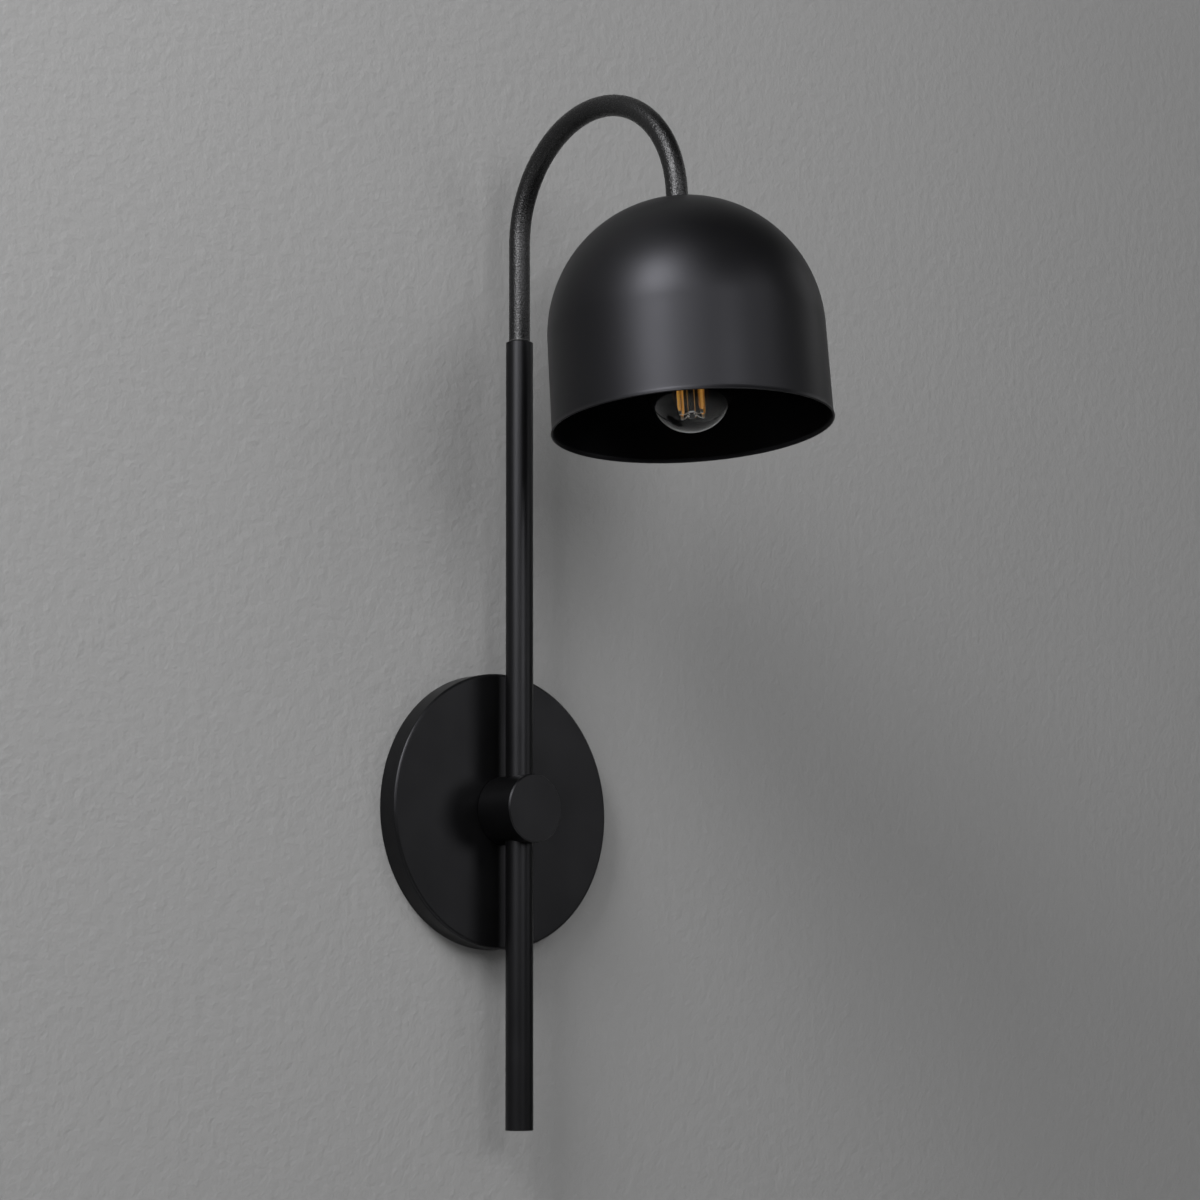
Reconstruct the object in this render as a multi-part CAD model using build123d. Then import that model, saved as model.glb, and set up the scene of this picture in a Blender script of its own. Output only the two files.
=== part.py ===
"""Wall lamp: a round wall plate carries a hub, the hub holds an upright rod, and a bent arm hangs a domed shade.

Sizes are in millimetres. X runs along the wall, +Y into the wall and +Z up. The origin is the middle of the
wall bracket's fixing holes, on the wall's face. Each piece that comes apart on a bench is its own solid.
"""
from build123d import *
from math import asin, cos, degrees, hypot, radians, sin, sqrt
import os

os.makedirs("parts", exist_ok=True)

# The whole lamp, from the rod's lower end to the top of the arm
lamp_height = 554.5

# Wall plate
canopy_diameter = 150.0
canopy_depth = 12.6
canopy_wall = 1.2
canopy_edge = 1.5

# Bracket that is screwed to the wall box
bracket_sheet = 1.5
bracket_width = 30.0
bracket_wide_length = 116.0
bracket_corner = 3.0
fixing_spacing = 72.0
fixing_slot_length = 24.0
fixing_slot_width = 5.0
cable_hole = 20.0
ear_width = 14.0
ear_height = 9.5
ear_screw_diameter = 4.0

# Terminal block and earth screw on the bracket
block_pitch = 8.0
block_width = 24.0
block_height = 10.5
block_depth = 8.5
block_middle = 17.2
block_corner = 1.0
block_bevel = 0.4
block_way_height = 3.4
block_screw_well = 2.0
block_screw_head_height = 1.4
clamp_diameter = 3.6
clamp_bore = 2.4
clamp_length = 8.4
clamp_screw = 2.0
clamp_screw_tip = 1.0
clamp_screw_sunk = 1.0
earth_screw_diameter = 4.0
earth_screw_head = 6.0
earth_screw_head_height = 2.0
earth_screw_across = 10.6
earth_screw_below = 13.5
lug_radius = 3.2
lug_sheet = 0.8
lug_neck_width = 2.0
lug_barrel_radius = 1.3
lug_barrel_start = 4.0
lug_barrel_length = 3.6

# Hub, hollow threaded nipple and its nut
hub_diameter = 37.2
hub_length = 27.0
hub_edge = 0.7
nipple_diameter = 10.0
nipple_bore = 7.4
nipple_nut_across = 14.0
nipple_nut_thickness = 3.5
nipple_washer_diameter = 19.0
nipple_washer_thickness = 1.0
nipple_washer_teeth = 12
washer_notch_depth = 0.8
washer_notch_width = 1.2
nipple_proud = 1.0
thread_edge = 0.5
hub_grub_diameter = 5.0
hub_grub_length = 8.0

# Rod
rod_diameter = 15.0
rod_wall = 1.5
rod_below = 171.3
rod_slot_length = 12.0
rod_slot_width = 6.2
rod_slot_rise = 2.0
end_plug_flange = 1.8
end_plug_edge = 0.4
end_plug_length = 12.0
end_plug_lead = 1.0

# Swivel joint in the top of the rod
swivel_limit = 60.0
swivel_flange = 2.4
swivel_chamfer = 1.6
swivel_chamfer_height = 1.0
bush_length = 16.0
bush_grub_diameter = 3.0
bush_grub_length = 2.6
bush_grub_sunk = 0.2
spigot_diameter = 8.5
spigot_bore = 5.8
spigot_plug_length = 14.0
spigot_proud = 1.0
friction_washer_thickness = 0.4
spring_washer_thickness = 0.8
spring_washer_split = 1.0
swivel_nut_thickness = 4.0
swivel_nut_slot = 1.6
stop_pin_diameter = 1.5
stop_pin_inset = 0.2
stop_recess_height = 2.5

# Bent arm
arm_diameter = 11.7
arm_wall = 1.3
arm_rise = 55.1
arm_bend_radius = 63.5
arm_drop = 8.3
shade_tilt = 4.8

# Shade: a dome with a nearly straight skirt and a turned-out lip
dome_radius = 72.5
mouth_radius = 73.0
shade_height = 121.8
shade_wall = 1.0
shade_land_radius = 9.0
lip_height = 2.6
lip_flare = 0.6
lip_bow_flare = 0.18

# Threaded stub and what clamps the shade on it
stub_length = 14.5
stub_plug_length = 6.0
shade_washer_diameter = 16.0
shade_washer_thickness = 1.2
shade_nut_across = 14.0
shade_nut_thickness = 3.5

# Lampholder for a small screw cap
holder_diameter = 27.0
holder_boss_diameter = 14.5
holder_boss_length = 5.0
holder_shoulder = 6.5
holder_wall = 1.5
holder_edge = 1.5
holder_crown = 3.0
holder_crown_slope = 1.0
holder_cap_length = 27.4
skirt_spigot_length = 4.5
skirt_lip = 1.2
skirt_edge = 0.8
insert_diameter = 22.4
insert_below_cap = 2.5
insert_above_contact = 10.5
socket_above_tip = 3.0
shell_wall = 0.5
contact_sheet = 0.6
contact_width = 4.0
contact_across = 6.2
contact_below_top = 1.0
side_contact_below_tip = 5.0
tongue_reach = 2.0
tongue_curl = 1.0
tongue_curl_rise = 0.8
slot_spare = 1.0
terminal_below_top = 4.5
terminal_screw_diameter = 2.5
terminal_screw_length = 3.4
cap_lock_screw_diameter = 2.5

# Globe bulb
bulb_diameter = 46.0
bulb_glass_wall = 0.8
bulb_length = 78.0
bulb_neck_radius = 6.3
bulb_neck_height = 28.0
bulb_neck_in_cap = 4.0
bulb_cap_diameter = 13.9
bulb_cap_wall = 0.35
bulb_cap_length = 20.0
bulb_cap_taper = 3.0
bulb_cap_narrowing = 2.1
bulb_insulator_height = 2.2
bulb_insulator_edge = 0.6
bulb_insulator_land = 0.4
bulb_tip_radius = 2.4
bulb_tip_crown_radius = 1.5
bulb_tip_height = 0.8
filament_count = 4
filament_ring_radius = 7.8
filament_radius = 1.35
filament_length = 24.0
filament_below_middle = 12.8
filament_end_radius = 0.8
filament_end_length = 2.0
filament_turn = 86.2
stem_in_cap = 3.5
stem_flare_radius = 5.2
stem_flare_edge = 0.8
stem_flare_height = 4.0
stem_tube_radius = 3.2
stem_tube_length = 12.0
stem_shoulder = 2.5
pillar_radius = 2.0
bead_radius = 2.4
bead_height = 2.4
bead_shoulder = 0.8
bead_point = 0.6
support_wire_radius = 0.25

# Cable held inside the lamp
flex_diameter = 4.6
flex_bend = 12.0
core_diameter = 1.8
core_offset = 1.1
core_bend = 2.4
core_spread = 4.4
flex_out_of_nipple = 3.0
flex_out_of_stub = 2.5
core_straight = 2.5
core_above_insert = 2.0
core_past_screw = 1.0
core_hole_spare = 0.5
wire_entry = 1.6
wire_bend = 3.0
wire_below_block = 3.0
neutral_below_block = 1.0
earth_wire_drop = 9.0
core_slope = 0.4

# Small screws, as shares of their diameter or head
point_share = 0.25
socket_share = 0.275
socket_depth_share = 0.45
head_edge_share = 0.35
driver_slot_share = 0.16
driver_slot_depth_share = 0.4
shank_edge = 0.3

# Clearances, on the radius or between two faces
thread_gap = 0.05
slip_gap = 0.03
run_gap = 0.05
hole_gap = 0.15
seat_gap = 0.3

# Places worked out from the sizes
UPWARD = (Align.CENTER, Align.CENTER, Align.MIN)
canopy_radius = canopy_diameter / 2
canopy_floor = canopy_depth - canopy_wall
rod_axis = canopy_depth + hub_length / 2
rod_radius = rod_diameter / 2
rod_bore = rod_radius - rod_wall
nipple_radius = nipple_diameter / 2
arm_radius = arm_diameter / 2
arm_bore = arm_radius - arm_wall
bend_height = lamp_height - rod_below - arm_radius - arm_bend_radius
rod_above = bend_height - arm_rise
rod_low = end_plug_flange - rod_below
rod_top = rod_above - swivel_flange
bush_low = rod_top - bush_length
spigot_radius = spigot_diameter / 2
bush_bore = spigot_radius + run_gap
arm_low = rod_above + friction_washer_thickness
bend_out = rod_axis + arm_bend_radius
apex_out = bend_out + arm_bend_radius * cos(radians(shade_tilt)) + arm_drop * sin(radians(shade_tilt))
apex_height = bend_height + arm_bend_radius * sin(radians(shade_tilt)) - arm_drop * cos(radians(shade_tilt))
holder_top = -(shade_wall + shade_washer_thickness + shade_nut_thickness)
holder_radius = holder_diameter / 2
insert_radius = insert_diameter / 2
cap_low = holder_top - holder_cap_length
insert_top = cap_low - insert_below_cap
bulb_radius = bulb_diameter / 2
bulb_tip = insert_top - insert_above_contact
bulb_middle = bulb_tip + bulb_radius - bulb_length
bulb_cap_radius = bulb_cap_diameter / 2
cap_shoulder = bulb_tip - bulb_tip_height - bulb_insulator_height - bulb_cap_taper
bulb_cap_low = cap_shoulder - bulb_cap_length
shell_bore = bulb_cap_radius + run_gap
shell_radius = shell_bore + shell_wall
insert_low = bulb_cap_low + skirt_lip + seat_gap
socket_top = bulb_tip + socket_above_tip
contact_top = insert_top - contact_below_top
side_contact_across = shell_radius + run_gap
terminal_drop = insert_top - terminal_below_top
core_end = terminal_drop - core_past_screw
jacket_end = -(stub_length + flex_out_of_stub)

# Local frames: distance from the wall as Z, height on the rod's axis as Z, and the shade's axis as Z
wall_place = Plane(origin=(0, 0, 0), x_dir=(1, 0, 0), z_dir=(0, -1, 0)).location
rod_place = Pos(0, -rod_axis, 0)
shade_place = Plane(
    origin=(0, -apex_out, apex_height),
    x_dir=(1, 0, 0),
    z_dir=(0, sin(radians(shade_tilt)), cos(radians(shade_tilt))),
).location


def rod_of(radius, low, high):
    """A round bar about Z between two heights."""
    return Pos(0, 0, low) * Cylinder(radius, high - low, align=UPWARD)


def ring(radius, bore, low, high):
    """A round bar about Z with a bore right through it."""
    return rod_of(radius, low, high) - rod_of(bore, low, high)


def turned(points):
    """A closed outline of (radius, height) points, turned about Z."""
    outline = Polyline([(radius, 0, height) for radius, height in points], close=True)
    return revolve(make_face(outline), Axis.Z)


def bar_between(start, end, radius):
    """A straight round wire from one point to another."""
    run = Vector(*end) - Vector(*start)
    return Plane(origin=start, z_dir=run).location * Cylinder(radius, run.length, align=UPWARD)


def hex_nut(across, bore, low, high):
    """A hexagon nut with chamfered corners on both faces."""
    corner = across / sqrt(3)
    chamfer = (corner - across / 2) / 2
    blank = Pos(0, 0, low) * extrude(RegularPolygon(corner, 6), high - low)
    cone = turned([(0, low), (corner - chamfer, low), (corner, low + chamfer),
                   (corner, high - chamfer), (corner - chamfer, high), (0, high)])
    return (blank & cone) - rod_of(bore, low, high)


def grub_screw(diameter, length):
    """A headless screw along Z: a cone point at height 0 and a hexagon socket in its far end."""
    radius = diameter / 2
    point = diameter * point_share
    body = turned([(0, 0), (radius - point, 0), (radius, point), (radius, length), (0, length)])
    socket = RegularPolygon(diameter * socket_share, 6)
    return body - Pos(0, 0, length * (1 - socket_depth_share)) * extrude(socket, length)


def pan_screw(diameter, length, head_diameter, head_height):
    """A slotted pan-head screw along Z: its shank ends at height 0 and its head sits on top of the length."""
    radius = diameter / 2
    head = head_diameter / 2
    edge = head_height * head_edge_share
    body = turned([(0, 0), (radius - shank_edge, 0), (radius, shank_edge), (radius, length), (head, length),
                   (head, length + head_height - edge), (head - edge, length + head_height),
                   (0, length + head_height)])
    slot = Box(2 * head_diameter, head_diameter * driver_slot_share, head_height * driver_slot_depth_share,
               align=(Align.CENTER, Align.CENTER, Align.MAX))
    return body - Pos(0, 0, length + head_height) * slot


def wire(points, radii, diameter):
    """A round wire along straight runs that are joined by arcs."""
    path = FilletPolyline(*points, radius=radii)
    start = Plane(origin=path @ 0, z_dir=path % 0)
    return sweep(start * Circle(diameter / 2), path=path)


# --- Wall plate and bracket -------------------------------------------------------------------------------

ear_face = sqrt((canopy_radius - canopy_wall) ** 2 - (ear_width / 2) ** 2) - seat_gap
ear_screw_out = canopy_depth / 2


def make_wall_bracket():
    """A steel strap with two slots, a cable hole and an ear bent forward at each end."""
    strap = Box(bracket_width, bracket_wide_length, bracket_sheet, align=UPWARD)
    strap = fillet(strap.edges().filter_by(Axis.Z), bracket_corner)
    strap += Box(ear_width, 2 * ear_face, bracket_sheet, align=UPWARD)
    for side in (-1, 1):
        middle = side * (ear_face - bracket_sheet / 2)
        ear = Pos(0, middle, 0) * Box(ear_width, bracket_sheet, ear_height, align=UPWARD)
        strap += ear
    bends = strap.edges().filter_by(Axis.X).group_by(Axis.Z)[0]
    strap = fillet([e for e in bends if abs(abs(e.center().Y) - ear_face) < 0.01], bracket_sheet)
    slot = Rot(0, 0, 90) * SlotOverall(fixing_slot_length, fixing_slot_width)
    for side in (-1, 1):
        strap -= Pos(0, side * fixing_spacing / 2, 0) * extrude(slot, bracket_sheet)
    strap -= rod_of(cable_hole / 2, 0, bracket_sheet)
    strap -= Pos(earth_screw_across, -earth_screw_below) * rod_of(
        earth_screw_diameter / 2 + thread_gap, 0, bracket_sheet)
    strap -= Pos(block_pitch / 2, block_middle) * rod_of(clamp_screw / 2 + thread_gap, 0, bracket_sheet)
    ear_hole = ear_screw_diameter / 2 + thread_gap
    strap -= Pos(0, 0, ear_screw_out) * Rot(90, 0, 0) * Cylinder(ear_hole, 2 * canopy_radius)
    return wall_place * strap


def make_canopy():
    """The pressed round cover: a shallow dish with a rounded front edge, open towards the wall."""
    dish = rod_of(canopy_radius, 0, canopy_depth)
    dish = fillet(dish.edges().group_by(Axis.Z)[-1], canopy_edge)
    hollow = rod_of(canopy_radius - canopy_wall, 0, canopy_floor)
    hollow = fillet(hollow.edges().group_by(Axis.Z)[-1], max(canopy_edge - canopy_wall, seat_gap))
    dish -= hollow
    dish -= rod_of(nipple_radius + hole_gap, canopy_floor, canopy_depth)
    screw_hole = ear_screw_diameter / 2 + hole_gap
    dish -= Pos(0, 0, ear_screw_out) * Rot(90, 0, 0) * Cylinder(screw_hole, 2 * canopy_diameter)
    return wall_place * dish


def make_canopy_screws():
    """Two headless screws that hold the cover to the bracket's ears, flush with its rim."""
    length = canopy_radius - ear_face + 3 * bracket_sheet
    screw = grub_screw(ear_screw_diameter, length)
    tip = canopy_radius - length
    upper = Pos(0, tip, ear_screw_out) * Rot(-90, 0, 0) * screw
    lower = Pos(0, -tip, ear_screw_out) * Rot(90, 0, 0) * screw
    return Compound([wall_place * upper, wall_place * lower])


# --- Terminal block, earth screw and wires in the wall plate ----------------------------------------------

block_wire_out = bracket_sheet + block_way_height
lug_out = bracket_sheet + lug_barrel_radius + thread_gap
block_top = bracket_sheet + block_depth
block_low = block_middle - block_height / 2
pole_places = (-block_pitch, 0.0, block_pitch)
clamp_screw_places = (-block_height / 4, block_height / 4)


def make_terminal_block():
    """A low moulded block with three wire ways, screw wells above each, and a fixing hole between two."""
    body = Pos(0, block_middle, bracket_sheet) * Box(block_width, block_height, block_depth, align=UPWARD)
    body = fillet(body.edges().filter_by(Axis.Z), block_corner)
    body = chamfer(body.faces().sort_by(Axis.Z)[-1].edges(), block_bevel)
    for across in pole_places:
        way = Pos(across, block_middle, block_wire_out) * Rot(90, 0, 0)
        body -= way * Cylinder(clamp_diameter / 2 + slip_gap, block_height)
        for up in clamp_screw_places:
            well = rod_of(clamp_screw / 2 + hole_gap, block_wire_out, block_top)
            body -= Pos(across, block_middle + up) * well
    fixing = rod_of(clamp_screw / 2 + hole_gap, bracket_sheet, block_top)
    fixing += rod_of(clamp_screw + hole_gap, block_top - block_screw_well, block_top)
    body -= Pos(block_pitch / 2, block_middle) * fixing
    return wall_place * body


def make_terminal_clamps():
    """Three brass tubes, each with two cross holes for its clamp screws."""
    clamps = []
    for across in pole_places:
        tube = Rot(90, 0, 0) * Cylinder(clamp_diameter / 2, clamp_length)
        tube -= Rot(90, 0, 0) * Cylinder(clamp_bore / 2, clamp_length)
        for up in clamp_screw_places:
            tube -= Pos(0, up, 0) * rod_of(clamp_screw / 2 + thread_gap, 0, clamp_diameter)
        clamps.append(wall_place * Pos(across, block_middle, block_wire_out) * tube)
    return Compound(clamps)


def make_terminal_screws():
    """Six small clamp screws, two over each wire way."""
    tip = block_wire_out + clamp_screw_tip
    head_height = clamp_screw
    length = block_top - tip - clamp_screw_sunk - head_height
    screw = pan_screw(clamp_screw, length, clamp_screw + hole_gap, head_height)
    return Compound([wall_place * Pos(across, block_middle + up, tip) * screw
                     for across in pole_places for up in clamp_screw_places])


def make_block_screw():
    """The small screw that holds the terminal block on the bracket."""
    length = block_depth - block_screw_well + bracket_sheet
    screw = pan_screw(clamp_screw, length, 2 * clamp_screw, block_screw_head_height)
    return wall_place * Pos(block_pitch / 2, block_middle, 0) * screw


def make_earth_screw():
    """The earth screw through the ring terminal into the bracket."""
    screw = pan_screw(
        earth_screw_diameter, bracket_sheet + lug_sheet, earth_screw_head, earth_screw_head_height)
    return wall_place * Pos(earth_screw_across, -earth_screw_below, 0) * screw


def make_earth_lug():
    """The ring terminal under the earth screw, with its crimped barrel."""
    low = bracket_sheet
    hole = earth_screw_diameter / 2 + hole_gap
    lug = ring(lug_radius, hole, low, low + lug_sheet)
    lug += Pos(0, lug_radius, low) * Box(lug_neck_width, lug_barrel_start - hole, lug_sheet, align=UPWARD)
    barrel = Pos(0, lug_barrel_start, lug_out) * Rot(-90, 0, 0) * Cylinder(
        lug_barrel_radius, lug_barrel_length, align=UPWARD)
    return wall_place * Pos(earth_screw_across, -earth_screw_below, 0) * (lug + barrel)


def make_earth_wire():
    """The green and yellow wire from the block's third pole to the ring terminal's barrel."""
    end = lug_barrel_start + lug_barrel_length - earth_screw_below
    return wall_place * wire([
        (block_pitch, block_low + wire_entry, block_wire_out),
        (block_pitch, block_low - wire_below_block, block_wire_out),
        (earth_screw_across, block_low - earth_wire_drop, lug_out), (earth_screw_across, end, lug_out)],
        [wire_bend, wire_bend], core_diameter)


# --- Hub --------------------------------------------------------------------------------------------------

hub_front = canopy_depth + hub_length
nipple_end = rod_axis - rod_radius - seat_gap
nipple_start = canopy_floor - nipple_washer_thickness - nipple_nut_thickness - nipple_proud


def make_hub():
    """A turned block on the wall plate with a cross bore for the rod and a threaded hole for the nipple."""
    block = rod_of(hub_diameter / 2, canopy_depth, hub_front)
    block = chamfer(block.edges().filter_by(GeomType.CIRCLE), hub_edge)
    block -= Pos(0, 0, rod_axis) * Rot(90, 0, 0) * Cylinder(rod_radius + slip_gap, 2 * hub_diameter)
    block -= rod_of(nipple_radius + thread_gap, canopy_depth, rod_axis)
    screw_way = Cylinder(hub_grub_diameter / 2 + thread_gap, hub_diameter, align=UPWARD)
    block -= Pos(0, 0, rod_axis) * Rot(0, 90, 0) * screw_way
    return wall_place * block


def make_hub_grub_screw():
    """The headless screw that locks the rod, in the hub's flank away from the room's usual view."""
    screw = grub_screw(hub_grub_diameter, hub_grub_length)
    return wall_place * Pos(rod_radius + slip_gap, 0, rod_axis) * Rot(0, 90, 0) * screw


def make_threaded_nipple():
    """The hollow thread that joins the hub to the wall plate and lets the cable through."""
    edge = thread_edge
    bore = nipple_bore / 2
    outline = [(bore, nipple_start), (nipple_radius - edge, nipple_start), (nipple_radius, nipple_start + edge),
               (nipple_radius, nipple_end - edge), (nipple_radius - edge, nipple_end), (bore, nipple_end)]
    return wall_place * turned(outline)


def make_nipple_nut():
    """The hexagon nut behind the wall plate."""
    low = nipple_start + nipple_proud
    return wall_place * hex_nut(nipple_nut_across, nipple_radius + thread_gap, low, low + nipple_nut_thickness)


def make_nipple_washer():
    """The toothed lock washer between the nut and the wall plate."""
    low = canopy_floor - nipple_washer_thickness
    washer = ring(nipple_washer_diameter / 2, nipple_radius + hole_gap, low, canopy_floor)
    notch = Box(2 * washer_notch_depth, washer_notch_width, nipple_washer_thickness, align=UPWARD)
    for tooth in range(nipple_washer_teeth):
        turn = Rot(0, 0, tooth * 360 / nipple_washer_teeth)
        washer -= turn * Pos(nipple_washer_diameter / 2, 0, low) * notch
    return wall_place * washer


# --- Rod and swivel joint ---------------------------------------------------------------------------------

bush_grub_height = rod_top - bush_length / 2
pin_height = bush_low + stop_recess_height / 2
nut_top = bush_low - spring_washer_thickness
spigot_low = nut_top - swivel_nut_thickness - spigot_proud
bush_grub_tip = rod_radius - bush_grub_length - bush_grub_sunk
stop_half_angle = swivel_limit + degrees(asin((stop_pin_diameter / 2 + run_gap) / bush_bore))


def make_rod():
    """The upright tube, with a slot at the hub for the cable and a small hole for the bush's screw."""
    tube = ring(rod_radius, rod_bore, rod_low, rod_top)
    tube -= Pos(0, 0, bush_grub_height) * Rot(-90, 0, 0) * Cylinder(
        bush_grub_diameter / 2 + thread_gap, rod_diameter, align=UPWARD)
    slot = Rot(0, 0, 90) * SlotOverall(rod_slot_length, rod_slot_width)
    way = wall_place * Pos(0, rod_slot_rise, rod_axis - rod_diameter) * extrude(slot, rod_diameter)
    return rod_place * tube - way


def make_rod_end_plug():
    """The pressed plug that closes the rod's lower end."""
    bottom = -rod_below
    shank = rod_bore - slip_gap
    top = rod_low + end_plug_length
    return rod_place * turned([
        (0, bottom), (rod_radius - end_plug_edge, bottom), (rod_radius, bottom + end_plug_edge),
        (rod_radius, rod_low), (shank, rod_low), (shank, top - end_plug_lead), (shank - end_plug_lead, top),
        (0, top)])


def make_swivel_bush():
    """The turned bush in the rod's top: a chamfered flange above, and a recess below that stops the arm."""
    shank = rod_bore - slip_gap
    bush = turned([
        (bush_bore, bush_low), (shank, bush_low), (shank, rod_top), (rod_radius, rod_top),
        (rod_radius, rod_above - swivel_chamfer_height), (rod_radius - swivel_chamfer, rod_above),
        (bush_bore, rod_above)])
    band = Pos((bush_bore + shank) / 2, 0, bush_low) * Rot(90, 0, 0) * Rectangle(
        2 * rod_wall + spigot_diameter / 2, 2 * stop_recess_height)
    bush -= Rot(0, 0, -90 - stop_half_angle) * revolve(band, Axis.Z, 2 * stop_half_angle)
    bush -= Pos(0, bush_grub_tip, bush_grub_height) * Rot(-90, 0, 0) * Cylinder(
        bush_grub_diameter / 2 + thread_gap, rod_radius, align=UPWARD)
    return rod_place * bush


def make_bush_grub_screw():
    """The small headless screw at the rod's back that locks the bush."""
    screw = grub_screw(bush_grub_diameter, bush_grub_length)
    return rod_place * Pos(0, bush_grub_tip, bush_grub_height) * Rot(-90, 0, 0) * screw


def make_arm_spigot():
    """The hollow pivot: brazed into the arm above, running in the bush below."""
    plug = arm_bore - slip_gap
    top = arm_low + spigot_plug_length
    bore = spigot_bore / 2
    pivot = turned([(bore, spigot_low), (spigot_radius, spigot_low), (spigot_radius, arm_low),
                    (plug, arm_low), (plug, top), (bore, top)])
    pivot -= Pos(0, 0, pin_height) * Rot(90, 0, 0) * Cylinder(
        stop_pin_diameter / 2 + slip_gap, spigot_diameter, align=UPWARD)
    return rod_place * pivot


def make_stop_pin():
    """The cross pin that runs in the bush's recess and limits the swivel."""
    start = spigot_bore / 2 + stop_pin_inset
    pin = Cylinder(stop_pin_diameter / 2, rod_bore - seat_gap - start, align=UPWARD)
    return rod_place * Pos(0, -start, pin_height) * Rot(90, 0, 0) * pin


def make_friction_washer():
    """The nylon washer between the arm's end and the bush."""
    return rod_place * ring(arm_radius, spigot_radius + run_gap, rod_above, arm_low)


def make_spring_washer():
    """The split spring washer that keeps the swivel firm."""
    washer = ring(rod_bore - seat_gap, spigot_radius + run_gap, nut_top, bush_low)
    split = Box(rod_diameter, spring_washer_split, 2 * spring_washer_thickness)
    return rod_place * (washer - Pos(rod_diameter / 2, 0, nut_top) * split)


def make_swivel_nut():
    """The round slotted nut on the pivot's lower end."""
    low = nut_top - swivel_nut_thickness
    nut = ring(rod_bore - seat_gap, spigot_radius + thread_gap, low, nut_top)
    return rod_place * (nut - Pos(0, 0, low) * Box(rod_diameter, swivel_nut_slot, swivel_nut_thickness))


# --- Arm and shade ----------------------------------------------------------------------------------------

def along_arm(radius, bore, low, drop):
    """A round run up the rod's axis, over the arm's bend and down the shade's axis to a drop below its top."""
    def section_run(height_low, height_high):
        if bore:
            return ring(radius, bore, height_low, height_high)
        return rod_of(radius, height_low, height_high)

    section = Circle(radius) - Circle(bore) if bore else Circle(radius)
    start = Pos(0, -rod_axis, bend_height) * section
    turn = Axis((0, -bend_out, bend_height), (1, 0, 0))
    bend = revolve(start, turn, 180 - shade_tilt)
    upright = rod_place * section_run(low, bend_height)
    return upright + bend + shade_place * section_run(drop, arm_drop)


def make_arm():
    """The bent tube: straight up from the rod, half round, and a short straight end on the shade."""
    return along_arm(arm_radius, arm_bore, arm_low, 0)


def make_shade_stub():
    """The hollow threaded end that is brazed into the arm and passes through the shade."""
    bore = nipple_bore / 2
    plug = arm_bore - run_gap
    low = -stub_length
    return shade_place * turned([
        (bore, low), (nipple_radius - thread_edge, low), (nipple_radius, low + thread_edge), (nipple_radius, 0),
        (plug, 0), (plug, stub_plug_length), (bore, stub_plug_length)])


def make_shade():
    """The spun dome: a flat land round its hole, a part sphere, a skirt, and a lip with a rounded edge."""
    hole = nipple_radius + hole_gap
    centre = -sqrt(dome_radius ** 2 - shade_land_radius ** 2)
    inner_radius = dome_radius - shade_wall
    inner_land = sqrt(inner_radius ** 2 - (shade_wall + centre) ** 2)
    rim = shade_wall / 2 - shade_height
    lip_start = lip_height - shade_height
    halfway = sqrt(0.5)

    def wall_lines(radius, land, height, mouth):
        """Land, dome, skirt and lip of one face of the wall, from the hole to the rim."""
        top = (land, 0, height)
        crown_height = centre + radius * halfway
        crown = (radius * halfway, 0, crown_height)
        side = (radius, 0, centre)
        lip = (mouth, 0, lip_start)
        edge = (mouth + lip_flare, 0, rim)
        bow = (mouth + lip_bow_flare, 0, (lip_start + rim) / 2)
        return [Line((hole, 0, height), top), ThreePointArc(top, crown, side), Line(side, lip),
                ThreePointArc(lip, bow, edge)]

    outer = wall_lines(dome_radius, shade_land_radius, 0, mouth_radius)
    inner = wall_lines(inner_radius, inner_land, -shade_wall, mouth_radius - shade_wall)
    rim_middle = mouth_radius + lip_flare - shade_wall / 2
    edge_arc = ThreePointArc(outer[-1] @ 1, (rim_middle, 0, -shade_height), inner[-1] @ 1)
    hole_edge = Line((hole, 0, 0), (hole, 0, -shade_wall))
    return shade_place * revolve(make_face(outer + inner + [edge_arc, hole_edge]), Axis.Z)


def make_shade_washer():
    """The flat washer inside the shade's top."""
    low = -shade_wall - shade_washer_thickness
    return shade_place * ring(shade_washer_diameter / 2, nipple_radius + hole_gap, low, -shade_wall)


def make_shade_nut():
    """The hexagon nut that clamps the shade against the arm's end."""
    return shade_place * hex_nut(
        shade_nut_across, nipple_radius + thread_gap, holder_top, holder_top + shade_nut_thickness)


# --- Lampholder -------------------------------------------------------------------------------------------

def make_lampholder_cap():
    """The moulded upper half: a threaded boss, a sloped shoulder and a plain barrel."""
    boss = holder_boss_diameter / 2
    boss_low = holder_top - holder_boss_length
    shoulder_low = boss_low - holder_shoulder
    inner = holder_radius - holder_wall
    cap = turned([
        (nipple_radius + thread_gap, holder_top), (boss, holder_top), (boss, boss_low),
        (holder_radius - holder_edge, shoulder_low + holder_edge), (holder_radius, shoulder_low),
        (holder_radius, cap_low), (inner, cap_low), (inner, shoulder_low - holder_crown_slope),
        (boss, boss_low - holder_crown), (nipple_radius + thread_gap, boss_low - holder_crown)])
    lock = Pos(0, 0, holder_top - holder_boss_length / 2) * Rot(0, 90, 0) * Cylinder(
        cap_lock_screw_diameter / 2 + thread_gap, holder_radius, align=UPWARD)
    return shade_place * (cap - lock)


def make_cap_lock_screw():
    """The small headless screw that keeps the lampholder from turning on its thread."""
    length = holder_boss_diameter / 2 - nipple_radius - thread_gap
    screw = grub_screw(cap_lock_screw_diameter, length)
    place = Pos(nipple_radius + thread_gap, 0, holder_top - holder_boss_length / 2)
    return shade_place * place * Rot(0, 90, 0) * screw


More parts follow.
